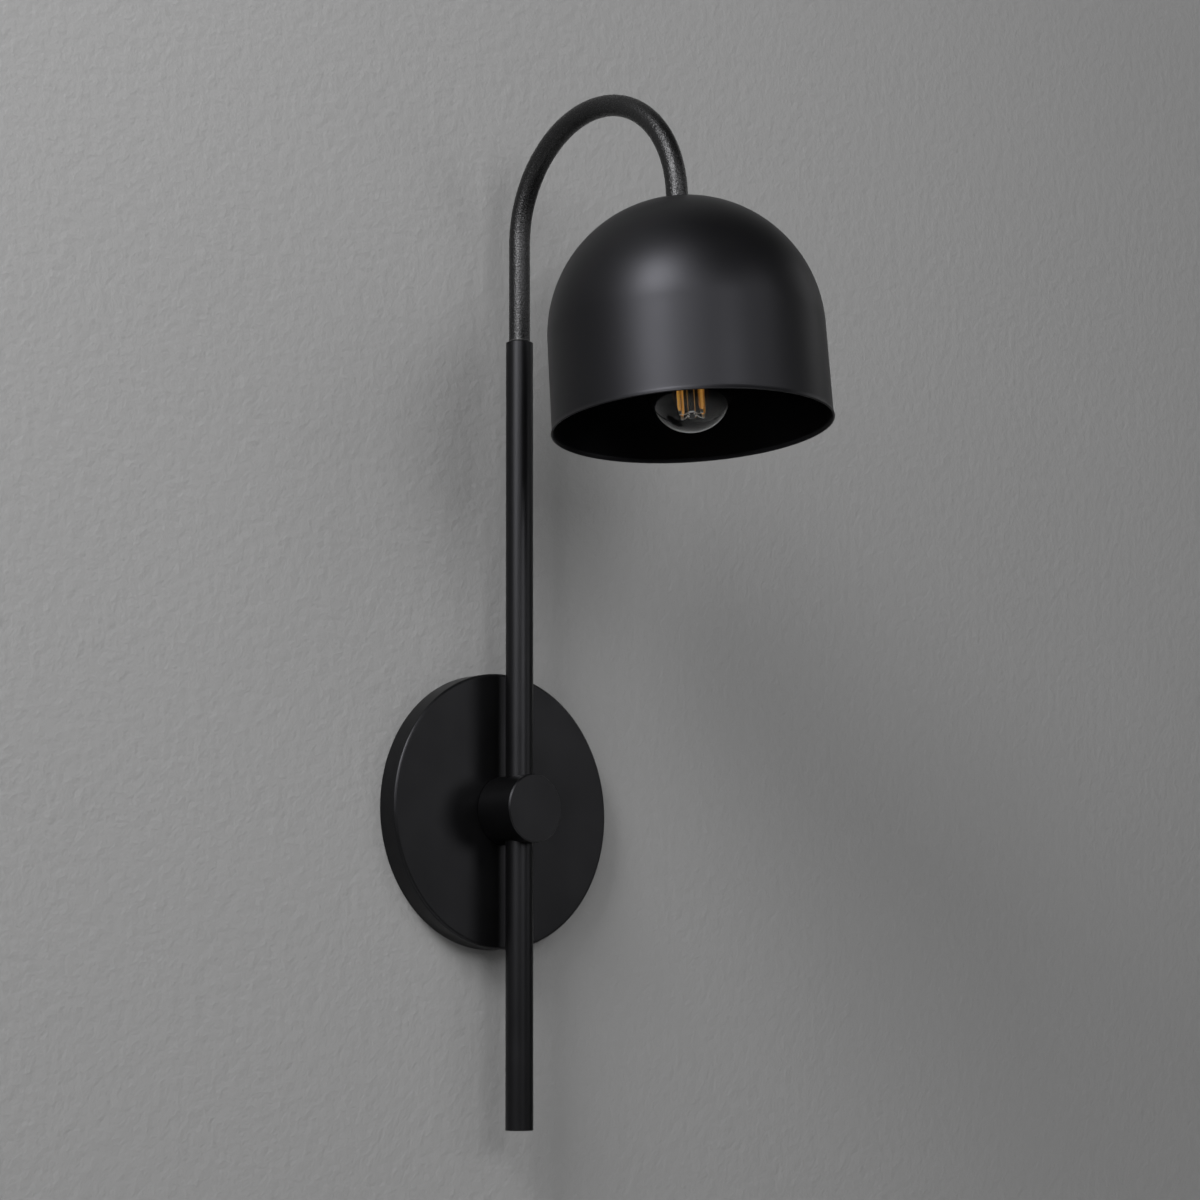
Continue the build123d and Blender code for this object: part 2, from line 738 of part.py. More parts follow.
def make_lampholder_skirt():
    """The moulded lower half: a barrel with a thread spigot above and an inward lip at its mouth."""
    bore = insert_radius + run_gap
    spigot = holder_radius - holder_wall - thread_gap
    mouth = shell_radius + seat_gap
    return shade_place * turned([
        (bore, cap_low + skirt_spigot_length), (spigot, cap_low + skirt_spigot_length), (spigot, cap_low),
        (holder_radius, cap_low), (holder_radius, bulb_cap_low + skirt_edge),
        (holder_radius - skirt_edge, bulb_cap_low),
        (mouth, bulb_cap_low), (mouth, bulb_cap_low + skirt_lip), (bore, bulb_cap_low + skirt_lip)])


def make_lampholder_insert():
    """The ceramic core: a socket for the thread shell, two contact slots, wire holes and screw holes."""
    core = rod_of(insert_radius, insert_low, insert_top)
    core -= rod_of(shell_radius + slip_gap, insert_low, socket_top)
    slot_width = contact_width + 2 * slip_gap
    slot = Box(contact_sheet + 2 * slip_gap, slot_width, insert_top - socket_top + 2 * slot_spare, align=UPWARD)
    core -= Pos(-contact_across, 0, socket_top - slot_spare) * slot
    long_slot = Box(contact_sheet + 2 * slip_gap + run_gap, slot_width,
                    insert_top - bulb_tip + side_contact_below_tip + slot_spare,
                    align=(Align.MIN, Align.CENTER, Align.MAX))
    core -= Pos(shell_radius, 0, insert_top) * long_slot
    screw_hole = Cylinder(terminal_screw_diameter / 2 + thread_gap, insert_diameter, align=UPWARD)
    core -= Pos(contact_across, 0, terminal_drop) * Rot(0, 90, 0) * screw_hole
    core -= Pos(-contact_across, 0, terminal_drop) * Rot(0, -90, 0) * screw_hole
    for side in (-1, 1):
        core -= Pos(side * core_spread, 0) * rod_of(
            core_diameter / 2 + hole_gap, core_end - core_hole_spare, insert_top)
    return shade_place * core


def make_thread_shell():
    """The brass thread shell that takes the bulb's cap, drawn here without its thread."""
    return shade_place * ring(shell_radius, shell_bore, insert_low, bulb_tip)


def make_centre_contact():
    """The sprung tongue that presses on the bulb's tip, with its tail up to a screw."""
    outer = -contact_across - contact_sheet / 2
    inner = outer + contact_sheet
    base = socket_top - slip_gap
    tip = bulb_tip + slip_gap
    top = tip + contact_sheet
    curl = tongue_reach + tongue_curl
    side = [(outer, contact_top), (inner, contact_top), (inner, base), (tongue_reach, top),
            (curl, top + tongue_curl_rise), (curl, top), (tongue_reach, tip), (-tongue_reach, tip),
            (outer, base - contact_sheet)]
    profile = make_face(Polyline([(x, 0, z) for x, z in side], close=True))
    return shade_place * extrude(profile, contact_width / 2, both=True)


def make_side_contact():
    """The straight strip that runs down beside the thread shell."""
    low = bulb_tip - side_contact_below_tip
    strip = Box(contact_sheet, contact_width, contact_top - low, align=(Align.MIN, Align.CENTER, Align.MIN))
    return shade_place * Pos(side_contact_across, 0, low) * strip


def make_holder_terminal_screws():
    """The two screws that clamp the wires to the contact strips."""
    screw = grub_screw(terminal_screw_diameter, terminal_screw_length)
    side_tip = side_contact_across + contact_sheet + slip_gap
    centre_tip = contact_across + contact_sheet / 2 + slip_gap
    short = grub_screw(terminal_screw_diameter, min(terminal_screw_length, insert_radius - side_tip - slip_gap))
    return Compound([
        shade_place * Pos(side_tip, 0, terminal_drop) * Rot(0, 90, 0) * short,
        shade_place * Pos(-centre_tip, 0, terminal_drop) * Rot(0, -90, 0) * screw])


# --- Bulb -------------------------------------------------------------------------------------------------

def globe_lines(globe_radius, neck_radius, waist_radius, neck_top):
    """Globe, waist and neck as one run of tangent lines, from the lowest point up."""
    reach = neck_radius + waist_radius
    waist = (reach, bulb_middle + bulb_neck_height)
    scale = globe_radius / hypot(reach, bulb_neck_height)
    meet = (reach * scale, 0, bulb_middle + bulb_neck_height * scale)
    bottom = (0, 0, bulb_middle - globe_radius)
    side = (globe_radius, 0, bulb_middle)
    neck = (neck_radius, 0, waist[1])
    toward = hypot(waist[0] - (meet[0] + neck[0]) / 2, waist[1] - (meet[2] + neck[2]) / 2)
    bow = (waist[0] - (waist[0] - (meet[0] + neck[0]) / 2) * waist_radius / toward, 0,
           waist[1] - (waist[1] - (meet[2] + neck[2]) / 2) * waist_radius / toward)
    return [ThreePointArc(bottom, side, meet), ThreePointArc(meet, bow, neck), Line(neck, (neck_radius, 0, neck_top))]


def make_bulb_glass():
    """The blown globe with its neck, open inside the screw cap."""
    waist = (bulb_neck_radius ** 2 + bulb_neck_height ** 2 - bulb_radius ** 2) / (
        2 * (bulb_radius - bulb_neck_radius))
    neck_top = bulb_cap_low + bulb_neck_in_cap
    outer = globe_lines(bulb_radius, bulb_neck_radius, waist, neck_top)
    inner = globe_lines(bulb_radius - bulb_glass_wall, bulb_neck_radius - bulb_glass_wall,
                        waist + bulb_glass_wall, neck_top)
    rim = Line((bulb_neck_radius, 0, neck_top), (bulb_neck_radius - bulb_glass_wall, 0, neck_top))
    pole = Line((0, 0, bulb_middle - bulb_radius), (0, 0, bulb_middle - bulb_radius + bulb_glass_wall))
    return shade_place * revolve(make_face(outer + inner + [rim, pole]), Axis.Z)


def make_bulb_cap():
    """The plated screw cap, drawn without its thread, with a tapered end."""
    inner = bulb_cap_radius - bulb_cap_wall
    taper_radius = bulb_cap_radius - bulb_cap_narrowing
    top = cap_shoulder + bulb_cap_taper
    return shade_place * turned([
        (inner, bulb_cap_low), (bulb_cap_radius, bulb_cap_low), (bulb_cap_radius, cap_shoulder),
        (taper_radius, top), (taper_radius - bulb_cap_wall, top), (inner, cap_shoulder)])


def make_cap_insulator():
    """The black glass ring between the cap and the tip."""
    wide = bulb_cap_radius - bulb_cap_narrowing
    land = bulb_tip_radius + bulb_insulator_land
    low = cap_shoulder + bulb_cap_taper
    high = bulb_tip - bulb_tip_height
    return shade_place * turned([(0, low), (wide, low), (wide, low + bulb_insulator_edge), (land, high), (0, high)])


def make_tip_contact():
    """The soldered tip contact."""
    low = bulb_tip - bulb_tip_height
    return shade_place * turned([(0, low), (bulb_tip_radius, low), (bulb_tip_crown_radius, bulb_tip), (0, bulb_tip)])


stem_top = bulb_cap_low + stem_in_cap
stem_low = stem_top - stem_tube_length
filament_low = bulb_middle - filament_below_middle
filament_high = filament_low + filament_length
filament_angles = [filament_turn + 360 / filament_count * i for i in range(filament_count)]


def make_bulb_stem():
    """The glass stem: a flare in the neck, a tube, and a pillar that ends in a bead."""
    bead_low = filament_low - filament_end_length / 2 - bead_height / 2
    flare = min(stem_flare_radius, bulb_neck_radius - bulb_glass_wall - slip_gap)
    return shade_place * turned([
        (0, stem_top), (flare, stem_top), (flare, stem_top - stem_flare_edge),
        (stem_tube_radius, stem_top - stem_flare_height), (stem_tube_radius, stem_low),
        (pillar_radius, stem_low - stem_shoulder), (pillar_radius, bead_low + bead_height + bead_shoulder),
        (bead_radius, bead_low + bead_height), (bead_radius, bead_low), (0, bead_low - bead_point)])


def on_filament_ring(angle, radius, height):
    """A point at that radius and height on one filament's side of the bulb."""
    return (radius * cos(radians(angle)), radius * sin(radians(angle)), height)


def make_filaments():
    """The coated filament sticks, spaced round the pillar."""
    stick = rod_of(filament_radius, filament_low, filament_high)
    return Compound([shade_place * Pos(*on_filament_ring(a, filament_ring_radius, 0)) * stick
                     for a in filament_angles])


def make_filament_ends():
    """The small metal tab at each end of each stick."""
    lower = rod_of(filament_end_radius, filament_low - filament_end_length, filament_low)
    upper = rod_of(filament_end_radius, filament_high, filament_high + filament_end_length)
    tabs = []
    for angle in filament_angles:
        place = Pos(*on_filament_ring(angle, filament_ring_radius, 0))
        tabs += [shade_place * place * lower, shade_place * place * upper]
    return Compound(tabs)


def make_support_wires():
    """The fine wires from the bead to the lower tabs and from the stem to the upper tabs."""
    lower = filament_low - filament_end_length / 2
    upper = filament_high + filament_end_length / 2
    outer = filament_ring_radius - filament_end_radius - slip_gap
    wires = []
    for angle in filament_angles:
        wires.append(bar_between(on_filament_ring(angle, bead_radius + slip_gap, lower),
                                 on_filament_ring(angle, outer, lower), support_wire_radius))
        wires.append(bar_between(on_filament_ring(angle, pillar_radius + slip_gap, upper),
                                 on_filament_ring(angle, outer, upper), support_wire_radius))
    return Compound([shade_place * w for w in wires])


# --- Cable ------------------------------------------------------------------------------------------------

jacket_start = nipple_start + flex_out_of_nipple


def make_flex_lower():
    """The cable from the wall plate through the hub and up the rod to the swivel."""
    radius = flex_diameter / 2
    turn_out = rod_axis - flex_bend
    level = wall_place * rod_of(radius, jacket_start, turn_out)
    start = wall_place * Pos(0, 0, turn_out) * Circle(radius)
    bend = revolve(start, Axis((0, -turn_out, flex_bend), (-1, 0, 0)), 90)
    return level + bend + rod_place * rod_of(radius, flex_bend, rod_above)


def make_flex_upper():
    """The cable from the swivel through the arm into the lampholder."""
    return along_arm(flex_diameter / 2, 0, rod_above, jacket_end)


def make_lower_cores():
    """The two insulated cores between the cable and the terminal block."""
    out = block_wire_out - core_slope
    neutral = wire([(core_offset, 0, jacket_start), (core_offset, 0, out), (0, block_low - neutral_below_block, out),
                    (0, block_low + wire_entry, block_wire_out)], [core_bend, wire_bend], core_diameter)
    live = wire([(-core_offset, 0, jacket_start), (-core_offset, 0, out),
                 (-block_pitch, block_low - wire_below_block, out),
                 (-block_pitch, block_low + wire_entry, block_wire_out)], [core_bend, wire_bend], core_diameter)
    return Compound([wall_place * neutral, wall_place * live])


def make_upper_cores():
    """The two insulated cores between the cable and the lampholder's contacts."""
    cores = []
    for side in (-1, 1):
        route = [(side * core_offset, 0, jacket_end), (side * core_offset, 0, jacket_end - core_straight),
                 (side * core_spread, 0, insert_top + core_above_insert), (side * core_spread, 0, core_end)]
        cores.append(shade_place * wire(route, [core_bend, core_bend], core_diameter))
    return Compound(cores)


pieces = {
    "wall_bracket": make_wall_bracket(),
    "canopy": make_canopy(),
    "canopy_grub_screws": make_canopy_screws(),
    "terminal_block": make_terminal_block(),
    "terminal_clamps": make_terminal_clamps(),
    "terminal_screws": make_terminal_screws(),
    "block_screw": make_block_screw(),
    "earth_screw": make_earth_screw(),
    "earth_lug": make_earth_lug(),
    "earth_wire": make_earth_wire(),
    "threaded_nipple": make_threaded_nipple(),
    "nipple_nut": make_nipple_nut(),
    "nipple_washer": make_nipple_washer(),
    "hub": make_hub(),
    "hub_grub_screw": make_hub_grub_screw(),
    "rod": make_rod(),
    "rod_end_plug": make_rod_end_plug(),
    "swivel_bush": make_swivel_bush(),
    "bush_grub_screw": make_bush_grub_screw(),
    "flex_lower": make_flex_lower(),
    "lower_cores": make_lower_cores(),
    "arm": make_arm(),
    "arm_spigot": make_arm_spigot(),
    "stop_pin": make_stop_pin(),
    "friction_washer": make_friction_washer(),
    "spring_washer": make_spring_washer(),
    "swivel_nut": make_swivel_nut(),
    "flex_upper": make_flex_upper(),
    "upper_cores": make_upper_cores(),
    "shade_stub": make_shade_stub(),
    "shade": make_shade(),
    "shade_washer": make_shade_washer(),
    "shade_nut": make_shade_nut(),
    "lampholder_cap": make_lampholder_cap(),
    "cap_lock_screw": make_cap_lock_screw(),
    "lampholder_skirt": make_lampholder_skirt(),
    "lampholder_insert": make_lampholder_insert(),
    "thread_shell": make_thread_shell(),
    "centre_contact": make_centre_contact(),
    "side_contact": make_side_contact(),
    "holder_terminal_screws": make_holder_terminal_screws(),
    "bulb_glass": make_bulb_glass(),
    "bulb_cap": make_bulb_cap(),
    "cap_insulator": make_cap_insulator(),
    "tip_contact": make_tip_contact(),
    "bulb_stem": make_bulb_stem(),
    "filaments": make_filaments(),
    "filament_ends": make_filament_ends(),
    "support_wires": make_support_wires(),
}

for name, piece in pieces.items():
    export_step(piece, f"parts/{name}.step")
print(len(pieces), "pieces written")
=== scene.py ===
# %% [markdown]
# # A black wall lamp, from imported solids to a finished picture
# The lamp is a round wall plate with a hub, an upright rod, a bent arm and a domed shade over a clear bulb. Its
# solids come from a CAD file and stay where they are. This lesson gives each one its finish, and models again the
# pieces whose surface tells most about the real thing: the wrinkled coat of the arm, the spun shade, the glass and
# what is inside it, and the rolled threads. Every new surface is a formula on a grid of two numbers, worked out
# with numpy.

import bmesh
import bpy
import numpy as np
from math import atan2, comb, cos, degrees, pi, radians, sin, sqrt
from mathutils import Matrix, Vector


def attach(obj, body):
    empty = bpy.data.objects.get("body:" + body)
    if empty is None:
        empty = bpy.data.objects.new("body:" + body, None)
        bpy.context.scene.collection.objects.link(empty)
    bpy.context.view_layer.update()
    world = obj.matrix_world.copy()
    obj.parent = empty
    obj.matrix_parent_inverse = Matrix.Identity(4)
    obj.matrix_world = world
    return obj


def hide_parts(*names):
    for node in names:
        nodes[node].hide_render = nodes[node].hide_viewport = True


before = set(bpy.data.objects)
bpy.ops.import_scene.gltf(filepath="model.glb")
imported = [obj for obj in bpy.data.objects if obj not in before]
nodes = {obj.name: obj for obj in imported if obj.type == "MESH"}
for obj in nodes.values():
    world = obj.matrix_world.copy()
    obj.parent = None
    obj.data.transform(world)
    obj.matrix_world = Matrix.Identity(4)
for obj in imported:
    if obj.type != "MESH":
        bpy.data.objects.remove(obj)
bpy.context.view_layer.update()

# %% [markdown]
# ## Three places to measure from
# A maker measures each piece from the face that it is mounted on. What lies behind the wall plate is measured
# outwards from the wall, and the shade's parts from the shade's top along its own axis, which leans a few degrees.
# The bulb's parts are measured on the same axis, from the middle of its globe. A place is four columns: three
# directions and a starting point. A point measured in millimetres becomes a point of the scene by one matrix
# product. Sizes are in millimetres, apart from those of the camera, the finishes and the room, which are in metres.

# %% The wall's, the shade's and the bulb's places
mm = 0.001
rod_out = 26.1
bend_radius = 63.5
bend_height = 313.85
arm_foot = 259.15
arm_drop = 8.3
shade_tilt = radians(4.8)
globe_drop = 101.1
bend_out = rod_out + bend_radius
bend_turn = pi - shade_tilt
shade_out = bend_out + bend_radius * cos(shade_tilt) + arm_drop * sin(shade_tilt)
shade_top = bend_height + bend_radius * sin(shade_tilt) - arm_drop * cos(shade_tilt)


def place_from(across, up, outward, start):
    """A place: three unit directions as columns, then the starting point, all in the scene's frame."""
    return np.column_stack([across, up, outward, np.array(start)])


on_wall = place_from((1, 0, 0), (0, 0, 1), (0, -1, 0), (0, 0, 0))
lean = (0, sin(shade_tilt), cos(shade_tilt))
on_shade = place_from((1, 0, 0), (0, cos(shade_tilt), -sin(shade_tilt)), lean, (0, -shade_out, shade_top))
on_bulb = np.column_stack([on_shade[:, :3], on_shade[:, 3] - globe_drop * np.array(lean)])


def placed(points, place):
    """Each point times the three directions, plus the starting point, then millimetres to metres."""
    return (points @ place[:, :3].T + place[:, 3]) * mm


print("The shade hangs from", placed(np.zeros(3), on_shade), "metres")

# %% [markdown]
# ## The camera
# The photograph was taken from the left and from below the shade, through a long lens, so the mouth of the shade is
# a narrow ellipse and the wall plate an upright one. The camera stands where the real one stood, so it comes first.
# It looks up a little, and no shift is needed.

# %% Where the picture is taken from, in metres
lamp_middle = Vector((0.0, -0.12, 0.16))
camera_place = (-1.0907, -1.2988, -0.1277)
camera_turn = radians(42.10)
camera_tip = radians(8.22)
camera_roll = radians(-0.20)

camera_data = bpy.data.cameras.new("camera")
camera_data.sensor_width = 36.0
camera_data.lens = 93.0
camera = bpy.data.objects.new("camera", camera_data)
camera.location = camera_place
sight = Vector((sin(camera_turn) * cos(camera_tip), cos(camera_turn) * cos(camera_tip), sin(camera_tip)))
camera.rotation_euler = sight.to_track_quat("-Z", "Y").to_matrix().to_4x4().to_euler()
camera.rotation_euler.rotate_axis("Z", camera_roll)
bpy.context.scene.collection.objects.link(camera)
bpy.context.scene.camera = camera
print("Camera", round((Vector(camera_place) - lamp_middle).length, 2), "m from the lamp's middle")

# %% [markdown]
# ## From a grid of points to a mesh
# A sheet of graph paper can be wrapped into nearly every piece of this lamp. Its columns go round the piece and its
# rows go along it. Where the rows also close on themselves, the sheet is a wall with a thickness, like a bent hoop;
# where they end on the axis, it is a closed drop. The faces are worked out from row and column numbers as whole
# arrays. The volume inside them tells which way they face: if it comes out negative, the columns are read
# backwards.

# %% Grids to meshes
merge_distance = 1e-7
sharp_angle = radians(38)


def corners_of(rows, columns, closed):
    """Four point numbers for each cell: this column and the next, in this row and the next."""
    row = np.arange(rows if closed else rows - 1)[:, None]
    column = np.arange(columns)[None, :]
    next_row, next_column = (row + 1) % rows, (column + 1) % columns
    cells = [row * columns + column, row * columns + next_column,
             next_row * columns + next_column, next_row * columns + column]
    return np.stack(np.broadcast_arrays(*cells), axis=-1).reshape(-1, 4)


def volume_in(points, cells):
    """A sixth of the sum of a . (b x c) over the two triangles of each cell."""
    a, b, c, d = (points[cells[:, k]] for k in range(4))
    return float((a * (np.cross(b, c) + np.cross(c, d))).sum()) / 6


def surface(name, grids, closed, finish, body, stands_for=()):
    """One piece from grids of points, each (rows, columns, 3) in metres and closed round its columns.

    Its UV map has turns round the piece across, and metres along the rows up.
    """
    points, cells, maps, count = [], [], [], 0
    for grid in grids:
        rows, columns = grid.shape[:2]
        quads = corners_of(rows, columns, closed)
        if volume_in(grid.reshape(-1, 3), quads) < 0:
            grid = grid[:, ::-1]
        steps = np.linalg.norm(np.diff(grid[:, 0], axis=0, append=grid[:1, 0]), axis=1)
        along = np.concatenate([[0.0], np.cumsum(steps)])
        row, column = np.divmod(np.arange(len(quads)), columns)
        left, right = column / columns, (column + 1) / columns
        low, high = along[row], along[row + 1]
        maps.append(np.stack([left, low, right, low, right, high, left, high], 1))
        points.append(grid.reshape(-1, 3))
        cells.append(quads + count)
        count += rows * columns
    mesh = bpy.data.meshes.new(name)
    mesh.from_pydata(np.concatenate(points).tolist(), [], np.concatenate(cells).tolist())
    mesh.uv_layers.new(name="along").uv.foreach_set("vector", np.concatenate(maps).ravel())
    merged = bmesh.new()
    merged.from_mesh(mesh)
    bmesh.ops.remove_doubles(merged, verts=merged.verts, dist=merge_distance)
    merged.to_mesh(mesh)
    merged.free()
    mesh.shade_smooth()
    mesh.set_sharp_from_angle(angle=sharp_angle)
    piece = bpy.data.objects.new(name, mesh)
    bpy.context.scene.collection.objects.link(piece)
    mesh.materials.append(finish.material)
    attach(piece, body)
    if stands_for:
        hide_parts(*stands_for)
    print(f"{name}: {len(mesh.polygons)} faces on {body}, for {', '.join(stands_for) or 'nothing else'}")


# %% [markdown]
# ## Outlines
# Most of the lamp is turned or spun, so its pieces are an outline of radius and height carried round an axis. An
# outline is put together from arcs and straight runs, each an array of points, just as a turner's drawing is.

# %% Arcs, runs and turning
same_point = 1e-6


def arc(centre, radius, start, end, steps):
    """Centre plus radius times (cosine, sine) of angles between start and end, in degrees."""
    angle = np.radians(np.linspace(start, end, steps + 1))
    return np.column_stack([centre[0] + radius * np.cos(angle), centre[1] + radius * np.sin(angle)])


def run(start, end, steps=1):
    """Evenly spaced points from start to end."""
    share = np.linspace(0, 1, steps + 1)[:, None]
    return (1 - share) * np.array(start, float) + share * np.array(end, float)


def outline(*parts):
    """Parts end to end, without the points that two neighbours share."""
    points = np.concatenate(parts)
    fresh = np.linalg.norm(np.diff(points, axis=0), axis=1) > same_point
    return points[np.concatenate([[True], fresh])]


def round_angles(sides):
    """Evenly spaced angles of one turn, without the last, which is the first again."""
    return np.linspace(0, 2 * pi, sides, endpoint=False)


def round_grid(radius, height, angle):
    """Radius r and height h at angle a give the point (r cos a, r sin a, h)."""
    return np.stack([radius * np.cos(angle), radius * np.sin(angle), height + 0 * angle], axis=-1)


def turned(points, sides, place):
    """An outline carried round the axis of its place."""
    return placed(round_grid(points[:, :1], points[:, 1:], round_angles(sides)[None, :]), place)


print("An outline of 4 points turned in 12 steps is a grid of", turned(run((1, 0), (1, 3), 3), 12, on_wall).shape)

# %% [markdown]
# ## What a finish is made of
# Paint, metal, plastic and glass differ in a few numbers of one shader, and in the small unevenness that makes them
# look real. That unevenness is noise in metres, read from Object coordinates, so it sits still on the piece and
# keeps its real scale. A finish may let noise change its colour, its gloss and its relief. A number that is the same
# all over is written on the shader itself, because an exporter reads it there.

# %% A maker for finishes
# A Mix node has sockets for numbers, vectors and colours under the same names, so the colour ones go by number.
mix_amount, mix_first, mix_second, mixed = 0, 6, 7, 2


class Finish:
    """A material with one Principled shader, and helpers that lead noise to its colour, gloss and relief."""

    def __init__(self, name, colour, roughness, **values):
        self.material = bpy.data.materials.new(name)
        self.material.use_nodes = True
        self.tree = self.material.node_tree
        self.shader = self.tree.nodes["Principled BSDF"]
        self.shader.inputs["Base Color"].default_value = (*colour, 1)
        self.shader.inputs["Roughness"].default_value = roughness
        for socket, value in values.items():
            self.shader.inputs[socket.replace("_", " ")].default_value = value
        self.normal = None

    def add(self, kind, **values):
        """A node of that kind with its input sockets set or linked by name."""
        node = self.tree.nodes.new(kind)
        for socket, value in values.items():
            target = node.inputs[socket.replace("_", " ")]
            if isinstance(value, bpy.types.NodeSocket):
                self.tree.links.new(value, target)
            else:
                target.default_value = value
        return node

    def where(self, stretch=(1, 1, 1), mapped=False):
        """Object coordinates, or the piece's own UV map, drawn out along each axis by its stretch."""
        source = self.add("ShaderNodeUVMap" if mapped else "ShaderNodeTexCoord")
        if mapped:
            source.uv_map = "along"
        point = source.outputs["UV" if mapped else "Object"]
        scale = tuple(1 / s for s in stretch)
        return self.add("ShaderNodeMapping", Vector=point, Scale=scale).outputs["Vector"]

    def turns_round(self):
        """How far round its piece a point is, in turns, from the UV map."""
        return self.add("ShaderNodeSeparateXYZ", Vector=self.where(mapped=True)).outputs["X"]

    def noise(self, size, detail=2.0, stretch=(1, 1, 1), mapped=False, harsh=0.5):
        """Soft blotches about size metres across, from 0 to 1."""
        node = self.add("ShaderNodeTexNoise", Vector=self.where(stretch, mapped), Scale=1 / size, Detail=detail,
                        Roughness=harsh)
        return node.outputs["Fac"]

    def between(self, amount, low, high, from_low=0.3, from_high=0.7):
        """A number that goes from low to high while the amount goes between its own limits."""
        node = self.add("ShaderNodeMapRange", Value=amount)
        for socket, value in zip(("From Min", "From Max", "To Min", "To Max"), (from_low, from_high, low, high)):
            node.inputs[socket].default_value = value
        return node.outputs["Result"]

    def tint(self, amount, first, second, socket="Base Color"):
        """Colour from first to second by the amount."""
        node = self.tree.nodes.new("ShaderNodeMix")
        node.data_type = "RGBA"
        self.tree.links.new(amount, node.inputs[mix_amount])
        node.inputs[mix_first].default_value = (*first, 1)
        node.inputs[mix_second].default_value = (*second, 1)
        self.tree.links.new(node.outputs[mixed], self.shader.inputs[socket])

    def gloss(self, amount, low, high):
        """Roughness from low to high by the amount."""
        self.tree.links.new(self.between(amount, low, high), self.shader.inputs["Roughness"])

    def relief(self, height, depth):
        """Bumps that are depth metres high. A second relief is laid over the first."""
        bump = self.add("ShaderNodeBump", Height=height, Distance=depth, Strength=1.0)
        if self.normal:
            self.tree.links.new(self.normal, bump.inputs["Normal"])
        self.normal = bump.outputs["Normal"]
        self.tree.links.new(self.normal, self.shader.inputs["Normal"])


def tell(*made):
    """Prints the name of each finish and how many shader nodes it has."""
    print(", ".join(f"{one.material.name} ({len(one.tree.nodes)} nodes)" for one in made))


# %% [markdown]
# ## Satin black paint
# The wall plate, hub and rod have a thin powder coat. Powder melts into a skin that is nearly flat, with long
# shallow waves like orange peel and a fine tooth that blurs what it mirrors. Two scales of relief make that, and a
# slow change of gloss makes it look handled and not computed.

# %% Satin black for the plate, hub and rod
satin_black = Finish("satin black", (0.0011, 0.0011, 0.0012), 0.36, Specular_IOR_Level=0.23,
                     Specular_Tint=(0.93, 0.93, 1.0, 1))
satin_black.gloss(satin_black.noise(size=0.030, detail=3.0), low=0.33, high=0.40)
satin_black.tint(satin_black.noise(size=0.012), (0.0009, 0.0009, 0.0010), (0.0013, 0.0013, 0.0014))
satin_black.relief(satin_black.noise(size=0.0030), depth=0.000010)
satin_black.relief(satin_black.noise(size=0.00030), depth=0.0000035)
tell(satin_black)

# %% [markdown]
# ## The shade's paint
# The shade is spun from a flat disc on a lathe, and fine tool rings stay under its paint. They are noise on the UV
# map, drawn out round the shade and tight along its outline. The paint itself is a little duller than the rod's.

# %% Shade black with faint spinning rings
shade_black = Finish("shade black", (0.0011, 0.0011, 0.0012), 0.42, Specular_IOR_Level=0.23,
                     Specular_Tint=(0.90, 0.90, 1.0, 1))
shade_black.gloss(shade_black.noise(size=0.040, detail=3.0), low=0.40, high=0.44)
rings = shade_black.noise(size=1.0, detail=3.0, stretch=(1.5, 0.0012, 1), mapped=True)
shade_black.relief(rings, depth=0.0000035)
shade_black.relief(shade_black.noise(size=0.00032), depth=0.0000045)
tell(shade_black)

# %% [markdown]
# ## Wrinkled black coat
# The arm's coat shrinks as it cures and draws up into grains a millimetre or two wide, so its highlights break into
# sparks. These grains are real relief in the arm's mesh. The material adds finer ones, under a millimetre, and lets
# their tops shine more than the hollows.

# %% Wrinkle coat for the arm
textured_black = Finish("textured black", (0.0020, 0.0020, 0.0021), 0.28, Specular_IOR_Level=0.34,
                        Specular_Tint=(0.97, 0.97, 1.0, 1))
fine_grain = textured_black.noise(size=0.0008, harsh=0.6)
textured_black.gloss(fine_grain, low=0.34, high=0.22)
textured_black.tint(textured_black.noise(size=0.0016), (0.0014, 0.0014, 0.0015), (0.0032, 0.0032, 0.0031))
textured_black.relief(fine_grain, depth=0.00027)
tell(textured_black)

# %% [markdown]
# ## Metals
# Bare metals show how they were made: zinc plate is slightly cloudy, drawn wire is bright, and oiled black steel is
# dull. Metallic is 1 for all of them. A slow noise clouds their colour and gloss, and a fine one, drawn out along
# the object's z axis, makes the scratches.

# %% Zinc, black steel, brass, tin, bright wire and the bulb's plated cap
def metal(name, colour, dull_colour, smooth, rough, cloud=0.004, scratch=0.00025, depth=0.000003):
    """A bare metal: cloudy colour and gloss, and fine scratches."""
    made = Finish(name, colour, smooth, Metallic=1.0)
    clouds = made.noise(cloud, detail=3.0)
    made.tint(made.between(clouds, 0, 1), colour, dull_colour)
    made.gloss(clouds, smooth, rough)
    made.relief(made.noise(scratch, stretch=(1, 1, 6)), depth)
    return made


zinc_steel = metal("zinc steel", (0.58, 0.59, 0.60), (0.46, 0.46, 0.45), 0.28, 0.42)
black_steel = metal("black steel", (0.055, 0.052, 0.050), (0.035, 0.034, 0.034), 0.34, 0.46, cloud=0.002)
brass = metal("brass", (0.72, 0.52, 0.22), (0.60, 0.42, 0.17), 0.22, 0.34)
tinned_copper = metal("tinned copper", (0.66, 0.65, 0.62), (0.54, 0.52, 0.48), 0.26, 0.40, cloud=0.0015)
bright_wire = metal("bright wire", (0.88, 0.87, 0.85), (0.78, 0.77, 0.75), 0.30, 0.40, cloud=0.001)
plated_cap = metal("plated cap", (0.66, 0.65, 0.61), (0.56, 0.54, 0.50), 0.18, 0.30)
tell(zinc_steel, black_steel, brass, tinned_copper, bright_wire, plated_cap)

